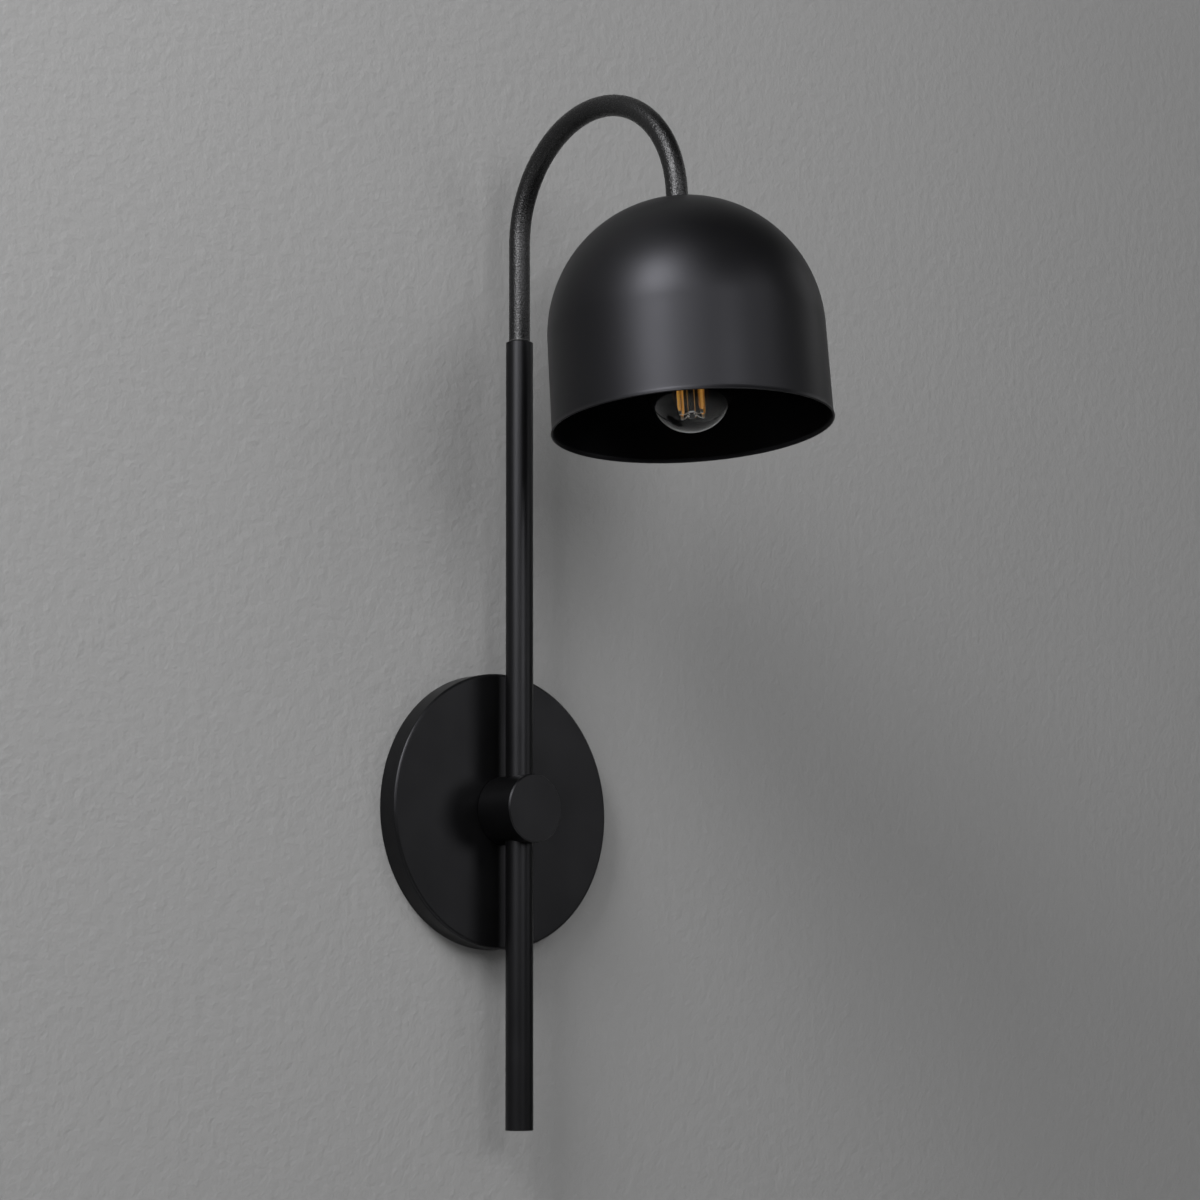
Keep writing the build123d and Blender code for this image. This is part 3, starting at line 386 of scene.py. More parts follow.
# %% [markdown]
# ## Plastics, ceramic and rubber
# Moulded parts have a faint leathery tooth from the mould. The cable's jacket is softer and duller, the black glass
# ring of the bulb's cap is the glossiest, and the earth wire is green with a yellow stripe, as is the rule.

# %% Moulded and extruded materials
earth_green = (0.030, 0.230, 0.045)
earth_yellow = (0.780, 0.600, 0.030)


def moulded(name, colour, shade, rough, spread=0.05, tooth=0.0004, depth=0.000006):
    """A moulded material: slight change of tone and gloss, and a fine tooth."""
    made = Finish(name, colour, rough)
    made.tint(made.noise(size=0.003), colour, shade)
    made.gloss(made.noise(size=0.002), rough - spread, rough + spread)
    made.relief(made.noise(tooth), depth)
    return made


block_plastic = moulded("block plastic", (0.72, 0.71, 0.67), (0.67, 0.66, 0.61), 0.42)
holder_plastic = moulded("holder plastic", (0.014, 0.014, 0.014), (0.010, 0.010, 0.010), 0.30)
washer_nylon = moulded("washer nylon", (0.030, 0.030, 0.030), (0.022, 0.022, 0.022), 0.50)
holder_ceramic = moulded("holder ceramic", (0.78, 0.77, 0.72), (0.72, 0.70, 0.65), 0.55)
flex_jacket = moulded("flex jacket", (0.016, 0.016, 0.016), (0.012, 0.012, 0.012), 0.55)
core_brown = moulded("core brown", (0.115, 0.048, 0.020), (0.095, 0.038, 0.016), 0.38)
core_blue = moulded("core blue", (0.020, 0.095, 0.330), (0.016, 0.078, 0.280), 0.38)
earth_insulation = moulded("earth insulation", earth_green, (0.026, 0.200, 0.040), 0.38)
black_glass = moulded("black glass", (0.010, 0.009, 0.012), (0.014, 0.012, 0.018), 0.14)
stripe = earth_insulation.between(earth_insulation.turns_round(), 0, 1, from_low=0.49, from_high=0.51)
earth_insulation.tint(stripe, earth_green, earth_yellow)
tell(block_plastic, holder_plastic, washer_nylon, holder_ceramic, flex_jacket, core_brown, core_blue,
     earth_insulation, black_glass)

# %% [markdown]
# ## Clear glass
# The bulb is clear glass with a wall about as thick as a fingernail, so its mesh has both faces of that wall and
# the shader only has to bend light at each. Every face also mirrors the pale room, more than the photograph shows,
# and a constant tint holds that back so that the sticks inside stay clear.

# %% Glass of the bulb
clear_glass = Finish("clear glass", (0.985, 0.990, 0.988), 0.0, Transmission_Weight=1.0, IOR=1.45,
                     Specular_Tint=(0.35, 0.35, 0.35, 1))
tell(clear_glass)

# %% [markdown]
# ## The coated sticks
# The light sticks are chips under an orange jelly, which lets light into its surface: a little subsurface
# scattering does that. The chips sit on a flat strip that faces outwards. The sticks also get a painted glow
# from their emission colour, though the bulb is unlit: brighter on a stick's two faces and dark orange at its
# sides, a painted light and shade. How far a point is from the middle of a face is a ping-pong of its turn round
# the stick: it rises and falls twice in one turn.

# %% Amber jelly with a painted glow
quarter_turn = 0.25
face_edge, side_edge = 0.09, 0.21
# Painted glow colours of the emission: dark orange at a stick's sides, brighter on its two faces.
painted_glow_sides = (0.040, 0.012, 0.001)
painted_glow_faces = (0.215, 0.110, 0.024)
# Emission Strength 1 gives the unlit sticks a painted glow of their own.
amber_coating = Finish("amber coating", (0.85, 0.38, 0.04), 0.30, Subsurface_Weight=0.25,
                       Subsurface_Radius=(0.0012, 0.0006, 0.0002), Subsurface_Scale=1.0, Emission_Strength=1.0)
amber_coating.tint(amber_coating.noise(size=0.0012), (0.93, 0.44, 0.05), (0.60, 0.22, 0.02))
amber_coating.relief(amber_coating.noise(size=0.0006), depth=0.00004)
round_the_stick = amber_coating.turns_round()
from_a_face = amber_coating.tree.nodes.new("ShaderNodeMath")
from_a_face.operation = "PINGPONG"
from_a_face.inputs[1].default_value = quarter_turn
amber_coating.tree.links.new(round_the_stick, from_a_face.inputs[0])
# Painted glow mask: 1 on a stick's two faces and 0 at its sides, for painted light and shade.
painted_glow_on_faces = amber_coating.between(from_a_face.outputs["Value"], 1.0, 0.0, from_low=face_edge, from_high=side_edge)
amber_coating.tint(painted_glow_on_faces, painted_glow_sides, painted_glow_faces, socket="Emission Color")
tell(amber_coating)

# %% [markdown]
# ## The solids take their finish
# Each solid came in with one empty material that has the name of its finish. Its slot is given the real one. The
# mesh isn't touched, so it still is what the CAD file says.

# %% Finishes on the solids
finishes = {
    "satin_black": satin_black, "textured_black": textured_black, "shade_black": shade_black,
    "zinc_steel": zinc_steel, "black_steel": black_steel, "brass": brass, "tinned_copper": tinned_copper,
    "block_plastic": block_plastic, "holder_plastic": holder_plastic, "washer_nylon": washer_nylon,
    "holder_ceramic": holder_ceramic, "flex_jacket": flex_jacket, "core_insulation": core_brown,
    "earth_insulation": earth_insulation, "clear_glass": clear_glass, "plated_cap": plated_cap,
    "black_glass": black_glass, "amber_coating": amber_coating, "bright_wire": bright_wire,
}
for node in nodes.values():
    for held in node.material_slots:
        held.material = finishes[held.material.name.split(".")[0]].material
print(len(finishes), "finishes on", len(nodes), "solids")

# %% [markdown]
# ## The arm's path
# The arm is a tube that goes straight up out of the rod, over a bend of nearly half a turn, and down into the shade.
# One formula covers all three parts: the turn stays at nothing up to the bend, grows with the distance inside it,
# and then stays at its end, and what distance is left over is walked straight ahead.

# %% The arm's centre line and rings round it
straight_up = bend_height - arm_foot
arm_length = straight_up + bend_radius * bend_turn + arm_drop


def arm_line(distance):
    """Centre and outward direction at a distance.

    With turn t, the centre is the bend's own plus R (cos t, sin t) plus the rest times (-sin t, cos t).
    """
    turn = np.clip((distance - straight_up) / bend_radius, 0, bend_turn)
    rest = distance - straight_up - bend_radius * turn
    towards_wall = -bend_out + bend_radius * np.cos(turn) - rest * np.sin(turn)
    up = bend_height + bend_radius * np.sin(turn) + rest * np.cos(turn)
    outward = np.stack([0 * turn, np.cos(turn), np.sin(turn)], axis=-1)
    return np.stack([0 * turn, towards_wall, up], axis=-1), outward


def tube_round(distance, radius, sides):
    """Rings of points at each distance along the arm: centre + radius (cos a outward + sin a across)."""
    centre, outward = arm_line(distance)
    angle = round_angles(sides)[None, :, None]
    across = np.array([1.0, 0.0, 0.0])
    return centre[:, None] + radius * (np.cos(angle) * outward[:, None] + np.sin(angle) * across)


print("The arm is", round(arm_length, 1), "mm long, with a bend of", round(degrees(bend_turn), 1), "degrees")

# %% [markdown]
# ## The arm's wrinkled skin
# The coat is a sum of many small waves in random directions. Their absolute value gives sharp creases between round
# grains, as a shrunk skin has. The skin only sinks between its grains, so the tube grows no thicker, and it fades
# to a plain tube at both ends, where the arm enters its neighbours.

# %% Grains, skin and bore
arm_radius = 5.84
arm_bore = 4.55
grain_height = 0.08
fade_length = 0.8
skin_sides = 120
skin_rows = 720
bore_rows = 60


def grains(points, seed, waves=44, shortest=0.9, longest=1.9):
    """One minus the absolute sum of many cosines, each of a random direction, length and phase, from 0 to 1."""
    dice = np.random.default_rng(seed)
    direction = dice.normal(size=(waves, 3))
    direction /= np.linalg.norm(direction, axis=1, keepdims=True)
    length = dice.uniform(shortest, longest, waves)
    phase = dice.uniform(0, 2 * pi, waves)
    total = np.zeros(points.shape[:-1])
    for way, far, start in zip(direction, length, phase):
        total += np.cos(points @ way * (2 * pi / far) + start)
    return 1 - np.clip(np.abs(total) / sqrt(waves), 0, 1)


outer_distance = np.linspace(0, arm_length, skin_rows)
skin = tube_round(outer_distance, arm_radius, skin_sides)
from_an_end = np.minimum(outer_distance, arm_length - outer_distance)
fade = np.clip(from_an_end / fade_length, 0, 1)[:, None]
sunk = grain_height * (1 - grains(skin, seed=5)) * fade
centre_line, _ = arm_line(outer_distance)
skin -= (skin - centre_line[:, None]) / arm_radius * sunk[..., None]
bore = tube_round(np.linspace(arm_length, 0, bore_rows), arm_bore, skin_sides)
surface("bent_arm", [np.concatenate([skin, bore]) * mm], True, textured_black, "arm", ["arm"])

# %% [markdown]
# ## The shade
# Spinning draws a disc over a block into a dome, a nearly straight skirt and a small turned-out lip. The outline is
# drawn once for the outer face and once for the inner one, a sheet's thickness away, and joined at the hole and at
# the rounded rim. Turning it in many fine steps keeps the long soft highlight free of facets.

# %% The spun shade
dome_radius = 72.5
mouth_radius = 73.0
shade_height = 121.8
sheet = 1.0
land_radius = 9.0
hole_radius = 5.15
lip_height = 2.6
lip_flare = 0.57
lip_power = 1.7
lip_steps = 12
shade_sides = 288


def shade_face(radius, mouth, height):
    """Land, quarter round, straight skirt, and a lip whose radius grows as a power of the way down it."""
    middle = -sqrt(dome_radius ** 2 - land_radius ** 2)
    land = sqrt(radius ** 2 - (height - middle) ** 2)
    start = degrees(atan2(height - middle, land))
    share = np.linspace(0, 1, lip_steps + 1)
    lip_top, lip_end = lip_height - shade_height, sheet / 2 - shade_height
    lip = np.column_stack([mouth + lip_flare * share ** lip_power, lip_top + (lip_end - lip_top) * share])
    return outline(run((hole_radius, height), (land, height), steps=4),
                   arc((0, middle), radius, start, 0, steps=90),
                   run((radius, middle), (mouth, lip_top), steps=24), lip)


outside = shade_face(dome_radius, mouth_radius, 0)
inside = shade_face(dome_radius - sheet, mouth_radius - sheet, -sheet)
rim = arc((mouth_radius + lip_flare - sheet / 2, sheet / 2 - shade_height), sheet / 2, 0, -180, steps=10)
shade_grid = turned(outline(outside, rim, inside[::-1]), shade_sides, on_shade)
surface("spun_shade", [shade_grid], True, shade_black, "arm", ["shade"])

# %% [markdown]
# ## The bulb's glass
# A glassblower's globe is a sphere that runs through a hollow curve into a straight neck. Both curves meet where
# they have the same direction, which fixes the hollow's radius. The inner face is the same drawing, smaller by the
# wall.

# %% The globe
globe_radius = 23.0
neck_radius = 6.3
neck_rise = 28.0
neck_end = 33.0
glass_wall = 0.6
globe_sides = 128
hollow_radius = (neck_radius ** 2 + neck_rise ** 2 - globe_radius ** 2) / (2 * (globe_radius - neck_radius))


def globe_face(inset):
    """Sphere from the lowest point to the meeting angle, hollow arc back to upright, and the neck."""
    reach = neck_radius + hollow_radius
    meeting = degrees(atan2(neck_rise, reach))
    return outline(arc((0, 0), globe_radius - inset, -90, meeting, steps=70),
                   arc((reach, neck_rise), hollow_radius + inset, meeting - 180, -180, steps=16),
                   run((neck_radius - inset, neck_rise), (neck_radius - inset, neck_end), steps=3))


globe_grid = turned(outline(globe_face(0), globe_face(glass_wall)[::-1]), globe_sides, on_bulb)
surface("bulb_globe", [globe_grid], False, clear_glass, "bulb", ["bulb_glass"])

# %% [markdown]
# ## The glass stem
# Inside the neck a flared tube is pinched flat around the wires while it is soft, and from the pinch a thin pillar
# runs down to a bead that holds the lower wires. It is turned, except that at the pinch one axis is squeezed.

# %% Stem, pinch, pillar and bead
stem_top = 32.5
flare_top = 31.8
flare_end = 27.2
flare_radius = 5.1
tube_radius = 3.1
shoulder_top = 20.7
shoulder_end = 17.2
pillar_radius = 2.0
pillar_above_bead = 2.4
bead_middle = -13.8
bead_radius = 2.0
bead_shift = 0.6
bead_depth = 2.1
pinch_middle = 21.7
pinch_reach = 3.2
pinch_share = 0.55
curve_points = 12
stem_sides = 48

share = np.linspace(0, 1, curve_points)
flare = np.column_stack([tube_radius + (flare_radius - tube_radius) * (1 - share) ** 2,
                         flare_top + (flare_end - flare_top) * share])
shoulder = np.column_stack([pillar_radius + (tube_radius - pillar_radius) * (1 + np.cos(pi * share)) / 2,
                            shoulder_top + (shoulder_end - shoulder_top) * share])
stem_outline = outline(
    [(0, stem_top), (flare_radius, stem_top)], flare,
    run((tube_radius, flare_end), (tube_radius, shoulder_top), steps=18), shoulder,
    run((pillar_radius, shoulder_end), (pillar_radius, bead_middle + pillar_above_bead), steps=12),
    arc((bead_shift, bead_middle), bead_radius, 50, -72, steps=14), [(0, bead_middle - bead_depth)])
stem = turned(stem_outline, stem_sides, on_bulb)
squeeze = pinch_share * np.exp(-((stem_outline[:, 1] - pinch_middle) / pinch_reach) ** 2)
stem[..., 0] *= 1 - squeeze[:, None]
surface("glass_stem", [stem], False, clear_glass, "bulb", ["bulb_stem"])

# %% [markdown]
# ## Light sticks
# Four sticks stand round the pillar. Each is a row of chips under jelly, so its radius swells a little over every
# chip and, more slowly, where the jelly has run together.

# %% Sticks
stick_ring = 7.8
stick_middle = -0.8
stick_length = 24.0
stick_radius = 1.35
stick_count = 4
first_stick = 86.2
stick_angles = np.radians(first_stick + 360 / stick_count * np.arange(stick_count))
end_power = 16
chip_pitch, chip_swell = 0.92, 0.035
lump_pitch, lump_swell = 5.1, 0.02
stick_rows, stick_sides = 121, 28


def standing_at(angle, grid):
    """Turns a shape that stands on the axis by the angle, and moves it out to the ring of sticks."""
    x = (grid[..., 0] + stick_ring) * cos(angle) - grid[..., 1] * sin(angle)
    y = (grid[..., 0] + stick_ring) * sin(angle) + grid[..., 1] * cos(angle)
    return np.stack([x, y, grid[..., 2]], axis=-1)


def end_shares(rows):
    """Numbers from -1 to 1, the sine of even steps from -90 to 90 degrees, so they crowd at both ends."""
    return np.sin(np.linspace(-pi / 2, pi / 2, rows))


def stick_shape():
    """Radius R (1 - |s|^n)^(1/2) along s from -1 to 1, times the chips' and the lumps' waves."""
    share = end_shares(stick_rows)
    height = share * stick_length / 2
    swell = (1 + chip_swell * np.cos(2 * pi * height / chip_pitch)
             + lump_swell * np.sin(2 * pi * height / lump_pitch))
    thickest = 1 + chip_swell + lump_swell
    radius = stick_radius * np.sqrt(np.clip(1 - np.abs(share) ** end_power, 0, 1)) * swell / thickest
    return round_grid(radius[:, None], stick_middle + height[:, None], round_angles(stick_sides)[None, :])


sticks = [placed(standing_at(angle, stick_shape()), on_bulb) for angle in stick_angles]
surface("light_sticks", sticks, False, amber_coating, "bulb", ["filaments"])

# %% [markdown]
# ## Metal tabs
# A flat metal tab grips each end of a stick. Its section lies between an ellipse and a rectangle.

# %% Tabs at the sticks' ends
tab_length = 2.6
tab_half_width = 1.0
tab_half_depth = 0.25
tab_end_power = 10
tab_beyond = 0.75
tab_reach = stick_length / 2 + tab_beyond
tab_rows, tab_sides = 25, 32


def tab_shape(middle):
    """A flat bar: its section is |x/a|^4 + |y/b|^4 = 1, drawn in at both ends."""
    share = end_shares(tab_rows)[:, None]
    angle = round_angles(tab_sides)[None, :]
    size = np.clip(1 - np.abs(share) ** tab_end_power, 0, 1) ** 0.5
    x = np.sign(np.cos(angle)) * np.abs(np.cos(angle)) ** 0.5 * tab_half_depth * size
    y = np.sign(np.sin(angle)) * np.abs(np.sin(angle)) ** 0.5 * tab_half_width * size
    return np.stack([x, y, middle + share * tab_length / 2 + 0 * angle], axis=-1)


tabs = [placed(standing_at(angle, tab_shape(stick_middle + side * tab_reach)), on_bulb)
        for angle in stick_angles for side in (-1, 1)]
surface("stick_tabs", tabs, False, bright_wire, "bulb", ["filament_ends"])

# %% [markdown]
# ## Bent wires
# Bent wires join the tabs to the pinch above and to the bead below, and each ends a little way inside its tab. A
# wire is a tube round a smooth curve that is drawn towards a few bending points: each of them counts by how near
# the curve is to it.

# %% Support wires of the sticks
stick_wire_radius = 0.22
stick_wire_steps, stick_wire_sides = 26, 12


def bent_line(bends, steps):
    """Sum of the bending points, each times comb(n, k) t^k (1 - t)^(n - k)."""
    bends = np.array(bends, float)
    share = np.linspace(0, 1, steps)[:, None]
    last = len(bends) - 1
    weights = [comb(last, k) * share ** k * (1 - share) ** (last - k) for k in range(last + 1)]
    return sum(weight * bend for weight, bend in zip(weights, bends))


def wire_round(line, radius, sides, level):
    """Rings across the line's own direction and the level one, with a point at each end to close it."""
    ahead = np.gradient(line, axis=0)
    ahead /= np.linalg.norm(ahead, axis=1, keepdims=True)
    across = np.cross(ahead, level)
    across /= np.linalg.norm(across, axis=1, keepdims=True)
    above = np.cross(across, ahead)
    angle = round_angles(sides)[None, :, None]
    rings = line[:, None] + radius * (np.cos(angle) * across[:, None] + np.sin(angle) * above[:, None])
    first, last = (np.repeat(line[end][None, None], sides, axis=1) for end in (0, -1))
    return np.concatenate([first, rings, last])


def stick_wire(angle, bends):
    """A wire whose bending points are (distance from the pillar, sideways, height) on that stick's side."""
    line = bent_line(np.array(bends, float) - (stick_ring, 0, 0), stick_wire_steps)
    wire = wire_round(line, stick_wire_radius, stick_wire_sides, level=(0.0, 1.0, 0.0))
    return placed(standing_at(angle, wire), on_bulb)


wire_inward = 0.1
lower_hold, upper_hold = 0.5, 0.6
tab_out = stick_ring - wire_inward
lower_end = stick_middle - tab_reach - lower_hold
upper_end = stick_middle + tab_reach + upper_hold
lower_bends = [(1.4, 0, bead_middle), (3.6, 0, bead_middle + 1.2), (5.0, 0, lower_end - 1.6),
               (tab_out, 0, lower_end)]
upper_bends = [(0.8, 0, 20.1), (2.2, 0, 17.2), (7.4, 0, 18.2), (tab_out, 0, upper_end)]
wires = [stick_wire(angle, bends) for bends in (lower_bends, upper_bends) for angle in stick_angles]
surface("stick_wires", wires, False, bright_wire, "bulb", ["support_wires"])

# %% [markdown]
# ## Threads
# A thread is a tube whose radius rises and falls along a screw line: the wave's phase is the height over the pitch,
# less the angle over a full turn. It fades out at its ends.

# %% A threaded sleeve
def thread_radius(height, angle, crest, depth, pitch, low, high):
    """Crest less depth times half of one minus the cosine of the phase, fading out within a pitch of each end."""
    phase = 2 * pi * height / pitch - angle
    fade_in = np.clip(np.minimum(height - low, high - height) / pitch, 0, 1)
    return crest - depth * fade_in * (1 - np.cos(phase)) / 2


def sleeve(outer, inner, low, high, rows, sides, place):
    """A wall between two radius formulas of height and angle: up the outer face and down the inner one."""
    up = np.linspace(low, high, rows)[:, None]
    down = up[::-1]
    angle = round_angles(sides)[None, :]
    faces = [round_grid(outer(up, angle), up, angle), round_grid(inner(down, angle), down, angle)]
    return placed(np.concatenate(faces), place)


print("A thread of pitch 1 and depth 0.5 has the radii", thread_radius(np.arange(3) / 2, 0, 5, 0.5, 1, -9, 9))

# %% [markdown]
# ## The bulb's cap and the shell around it
# A rolled bulb cap has a round thread, and the shell that takes it has the same wave a hair larger.

# %% Cap and shell
cap_radius = 6.95
cap_wall = 0.35
cap_pitch = 2.82
cap_depth = 0.62
cap_low = 29.0
cap_shoulder = 49.0
cap_end = 51.9
cap_narrowing = 2.1
narrowing_height = 3.0
thread_low = 32.7
thread_high = 48.1
shell_low = 30.5
shell_high = 55.0
shell_gap = 0.10
shell_wall = 0.40
shell_widest = 7.5
shell_least_wall = 0.06
shell_thread_beyond = 1.5
sleeve_rows, sleeve_sides = 132, 72


def cap_face(inset):
    """The rolled thread, narrowed beyond the shoulder to the black glass ring."""
    def radius(height, angle):
        thread = thread_radius(height, angle, cap_radius, cap_depth, cap_pitch, thread_low, thread_high)
        narrow = cap_narrowing * np.clip((height - cap_shoulder) / narrowing_height, 0, 1)
        return thread - narrow - inset
    return radius


def shell_face(outset):
    """The cap's own wave, a gap and a wall further out, and never wider than the shell's place in the holder."""
    widest = shell_widest if outset else shell_widest - shell_least_wall

    def radius(height, angle):
        wave = thread_radius(height, angle, cap_radius, cap_depth, cap_pitch, thread_low - shell_thread_beyond,
                             thread_high + shell_thread_beyond)
        return np.minimum(wave + shell_gap + outset, widest)
    return radius


cap = sleeve(cap_face(0), cap_face(cap_wall), cap_low, cap_end, sleeve_rows, sleeve_sides, on_bulb)
surface("bulb_screw_cap", [cap], True, plated_cap, "bulb", ["bulb_cap"])
shell = sleeve(shell_face(shell_wall), shell_face(0), shell_low, shell_high, sleeve_rows, sleeve_sides, on_bulb)
surface("holder_thread_shell", [shell], True, brass, "arm", ["thread_shell"])

# %% [markdown]
# ## The hollow threads
# One hollow thread joins the hub to the wall plate, and another is brazed into the arm's end and clamps the shade
# and the lampholder. Both are pipe with a fine cut thread, by the same formula, and can be seen from behind and
# from below.

# %% Nipple and stub
pipe_radius = 5.0
pipe_bore = 3.7
pipe_pitch = 1.0
pipe_depth = 0.52
chamfer_depth = 0.45
chamfer_height = 0.5
pipe_sides = 56
nipple_low, nipple_high, nipple_rows = 5.9, 18.3, 124
stub_low, stub_high, stub_rows = -14.5, 6.0, 206
plug_low, plug_radius = 0.0, 4.5


def pipe_face(low, high, plug_above=np.inf):
    """A fine thread between low and high, chamfered at its lower end, and above it a plain plug."""
    def radius(height, angle):
        cut = thread_radius(height, angle, pipe_radius, pipe_depth, pipe_pitch, low, high)
        chamfer = chamfer_depth * np.clip(1 - (height - low) / chamfer_height, 0, 1)
        return np.where(height < plug_above, cut - chamfer, plug_radius)
    return radius


def pipe_bore_face(height, angle):
    """The bore is the same all the way."""
    return pipe_bore + 0 * height * angle


nipple = sleeve(pipe_face(nipple_low, nipple_high), pipe_bore_face, nipple_low, nipple_high, nipple_rows,
                pipe_sides, on_wall)
surface("hollow_nipple", [nipple], True, brass, "base", ["threaded_nipple"])
stub = sleeve(pipe_face(stub_low, plug_low, plug_low), pipe_bore_face, stub_low, stub_high, stub_rows,
              pipe_sides, on_shade)
surface("shade_thread", [stub], True, brass, "arm", ["shade_stub"])

# %% [markdown]
# ## Wires behind the wall plate
# Three insulated wires end in the terminal block. They are soft enough to find their own curve, so each is a tube
# round a smooth curve drawn towards a few bending points, measured on the wall: across, up, and out from the wall.

# %% Live, neutral and earth
core_radius = 0.9
core_steps, core_sides = 60, 20


def wall_wire(name, bends, finish, node):
    """A wire by its bending points on the wall."""
    wire = wire_round(bent_line(bends, core_steps), core_radius, core_sides, level=(0.9, 0.1, 0.2))
    surface(name, [placed(wire, on_wall)], False, finish, "base", [node])


wall_wire("lead_neutral", [(1.1, 0, 8.9), (1.1, 0, 3.4), (0.4, 4.0, 3.4), (0.0, 8.5, 4.0), (0.0, 13.55, 4.9)],
          core_blue, "lower_cores")
wall_wire("lead_live", [(-1.1, 0, 8.9), (-1.1, 0, 3.4), (-4.5, 4.0, 3.0), (-8.4, 7.0, 4.4), (-8.0, 13.55, 4.9)],
          core_brown, "lower_cores")
wall_wire("lead_earth", [(8.0, 13.55, 4.9), (7.7, 8.0, 5.0), (11.4, 4.0, 3.2), (10.6, -1.0, 2.85),
                         (10.6, -5.9, 2.85)], earth_insulation, "earth_wire")

# %% [markdown]
# ## The wall
# The lamp hangs on a plain plastered wall. The wall shows only its front, so that the lamp's back can be looked at
# too: a face seen from behind is see-through. Its plaster has a fine trowelled tooth. Behind the plate it has the
# round opening of a cable box, through which light reaches the plate's back. So it is a flat ring: its inner edge
# is a circle, and its outer edge a much larger one, cut back to the wall's four sides.

# %% Wall, in metres
floor_height = -1.2
wall_low, wall_high = (-4.0, floor_height), (4.0, 3.4)
wall_behind = 0.0004
box_radius = 0.060
beyond_the_wall = 6.0
wall_sides = 64


def flat_sheet(name, points, faces, finish):
    """A flat piece of the room from its points and faces."""
    mesh = bpy.data.meshes.new(name)
    mesh.from_pydata(points, [], faces)
    mesh.materials.append(finish.material)
    sheet_object = bpy.data.objects.new(name, mesh)
    bpy.context.scene.collection.objects.link(sheet_object)


plaster = Finish("plaster", (0.215, 0.215, 0.215), 0.9)
plaster.tint(plaster.noise(size=0.35, detail=3.0), (0.207, 0.207, 0.207), (0.223, 0.223, 0.223))
plaster.relief(plaster.noise(size=0.007, detail=4.0, harsh=0.6), depth=0.00065)
plaster_front = plaster.tree.nodes.new("ShaderNodeMixShader")
plaster.tree.links.new(plaster.add("ShaderNodeNewGeometry").outputs["Backfacing"], plaster_front.inputs[0])
plaster.tree.links.new(plaster.shader.outputs[0], plaster_front.inputs[1])
plaster.tree.links.new(plaster.add("ShaderNodeBsdfTransparent").outputs[0], plaster_front.inputs[2])
plaster.tree.links.new(plaster_front.outputs[0], plaster.tree.nodes["Material Output"].inputs["Surface"])

hole_turn = round_angles(wall_sides)
unit_circle = np.column_stack([np.cos(hole_turn), np.sin(hole_turn)])
wall_edge = np.clip(beyond_the_wall * unit_circle, wall_low, wall_high)
wall_points = [(x, wall_behind, z) for x, z in np.concatenate([box_radius * unit_circle, wall_edge])]
wall_faces = [(k, k + wall_sides, (k + 1) % wall_sides + wall_sides, (k + 1) % wall_sides)
              for k in range(wall_sides)]
flat_sheet("wall", wall_points, wall_faces, plaster)
print("Wall from", wall_low, "to", wall_high, "with an opening", 2 * box_radius, "m across")

# %% [markdown]
# ## The floor
# The pale floor lies far below. It glows a little for the camera alone, so it stays pale far from the lights and
# sheds no light on the lamp.

# %% Floor, in metres
floor_reach = 14
camera_glow = 0.38
floor_paint = Finish("floor paint", (0.62, 0.62, 0.61), 0.7)
floor_paint.tint(floor_paint.noise(size=0.5, detail=3.0), (0.60, 0.60, 0.59), (0.64, 0.64, 0.63))
floor_paint.shader.inputs["Emission Color"].default_value = (1.0, 1.0, 0.99, 1)
seen_floor = floor_paint.add("ShaderNodeLightPath").outputs["Is Camera Ray"]
floor_glow = floor_paint.between(seen_floor, 0.0, camera_glow, from_low=0.0, from_high=1.0)
floor_paint.tree.links.new(floor_glow, floor_paint.shader.inputs["Emission Strength"])
floor_corners = [(x * floor_reach, y * floor_reach, floor_height) for x, y in ((-1, -1), (1, -1), (1, 1), (-1, 1))]
flat_sheet("floor", floor_corners, [(0, 1, 2, 3)], floor_paint)
print("Floor", -floor_height, "m below the middle of the wall plate")

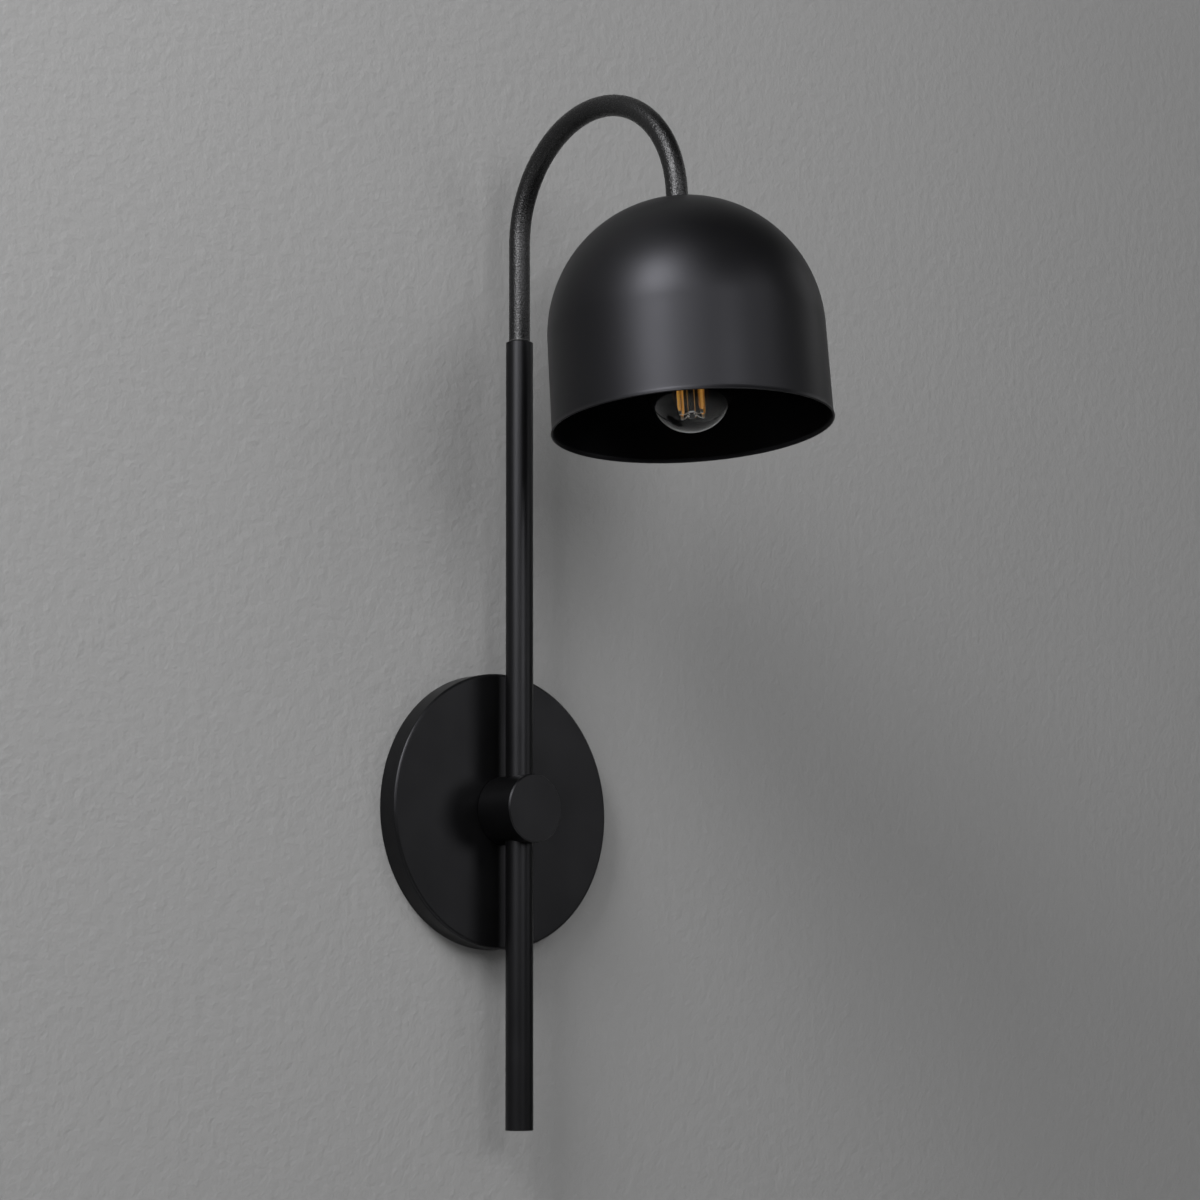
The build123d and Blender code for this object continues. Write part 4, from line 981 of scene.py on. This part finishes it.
# %% [markdown]
# ## Light
# Black paint shows hardly anything but what it mirrors, so its light is laid out as a room would be: equal square
# panels on a sphere round the lamp, each with its own power. The strongest hangs high on the left and gives the
# dome its bright spot and the rod its line. Its weaker neighbours widen those into soft bands, the ones on the
# right lift the far edges, and where there is no panel the paint stays black. One more stands behind the wall, for
# the plate's back. The camera doesn't see the panels themselves.

# %% Soft panels: azimuth and elevation in degrees, and power in watts
panel_side = 0.8
panel_distance = 2.2
panels = {
    "key": (-70, 35, 52.0), "above_key": (-60, 45, 10.5), "below_key": (-70, 15, 9.8),
    "along_wall": (-90, 15, 7.5), "front_left": (-40, 25, 11.0), "front": (-10, 15, 15.0),
    "front_right": (20, 25, 4.9), "right": (40, 5, 3.1), "far_right": (80, 25, 1.8),
    "behind_wall": (180, 15, 9.0),
}
for name, (azimuth, elevation, power) in panels.items():
    turn, tip = radians(azimuth), radians(elevation)
    away = Vector((sin(turn) * cos(tip), -cos(turn) * cos(tip), sin(tip)))
    data = bpy.data.lights.new(name, "AREA")
    data.shape = "RECTANGLE"
    data.size = data.size_y = panel_side
    data.energy = power
    light = bpy.data.objects.new(name, data)
    light.visible_camera = False
    light.location = lamp_middle + away * panel_distance
    light.rotation_euler = away.to_track_quat("Z", "Y").to_euler()
    bpy.context.scene.collection.objects.link(light)
print(len(panels), "panels,", round(sum(power for _, _, power in panels.values()), 1), "watts in all")

# %% [markdown]
# ## The room's own light
# Where there is neither wall nor floor, the camera sees a light grey. The lamp gets only a little light from all
# round, which keeps its paint from turning quite black.

# %% World
world_light = 0.03
world_seen = 0.65
world = bpy.data.worlds.new("room")
world.use_nodes = True
world_nodes, world_links = world.node_tree.nodes, world.node_tree.links
background = world_nodes["Background"]
background.inputs["Color"].default_value = (1.0, 1.0, 1.0, 1)
seen = world_nodes.new("ShaderNodeLightPath").outputs["Is Camera Ray"]
level = world_nodes.new("ShaderNodeMapRange")
level.inputs["To Min"].default_value = world_light
level.inputs["To Max"].default_value = world_seen
world_links.new(seen, level.inputs["Value"])
world_links.new(level.outputs["Result"], background.inputs["Strength"])
bpy.context.scene.world = world
bpy.context.scene.view_settings.view_transform = "Standard"
print("The room lights the lamp with", world_light, "and shows the camera", world_seen)
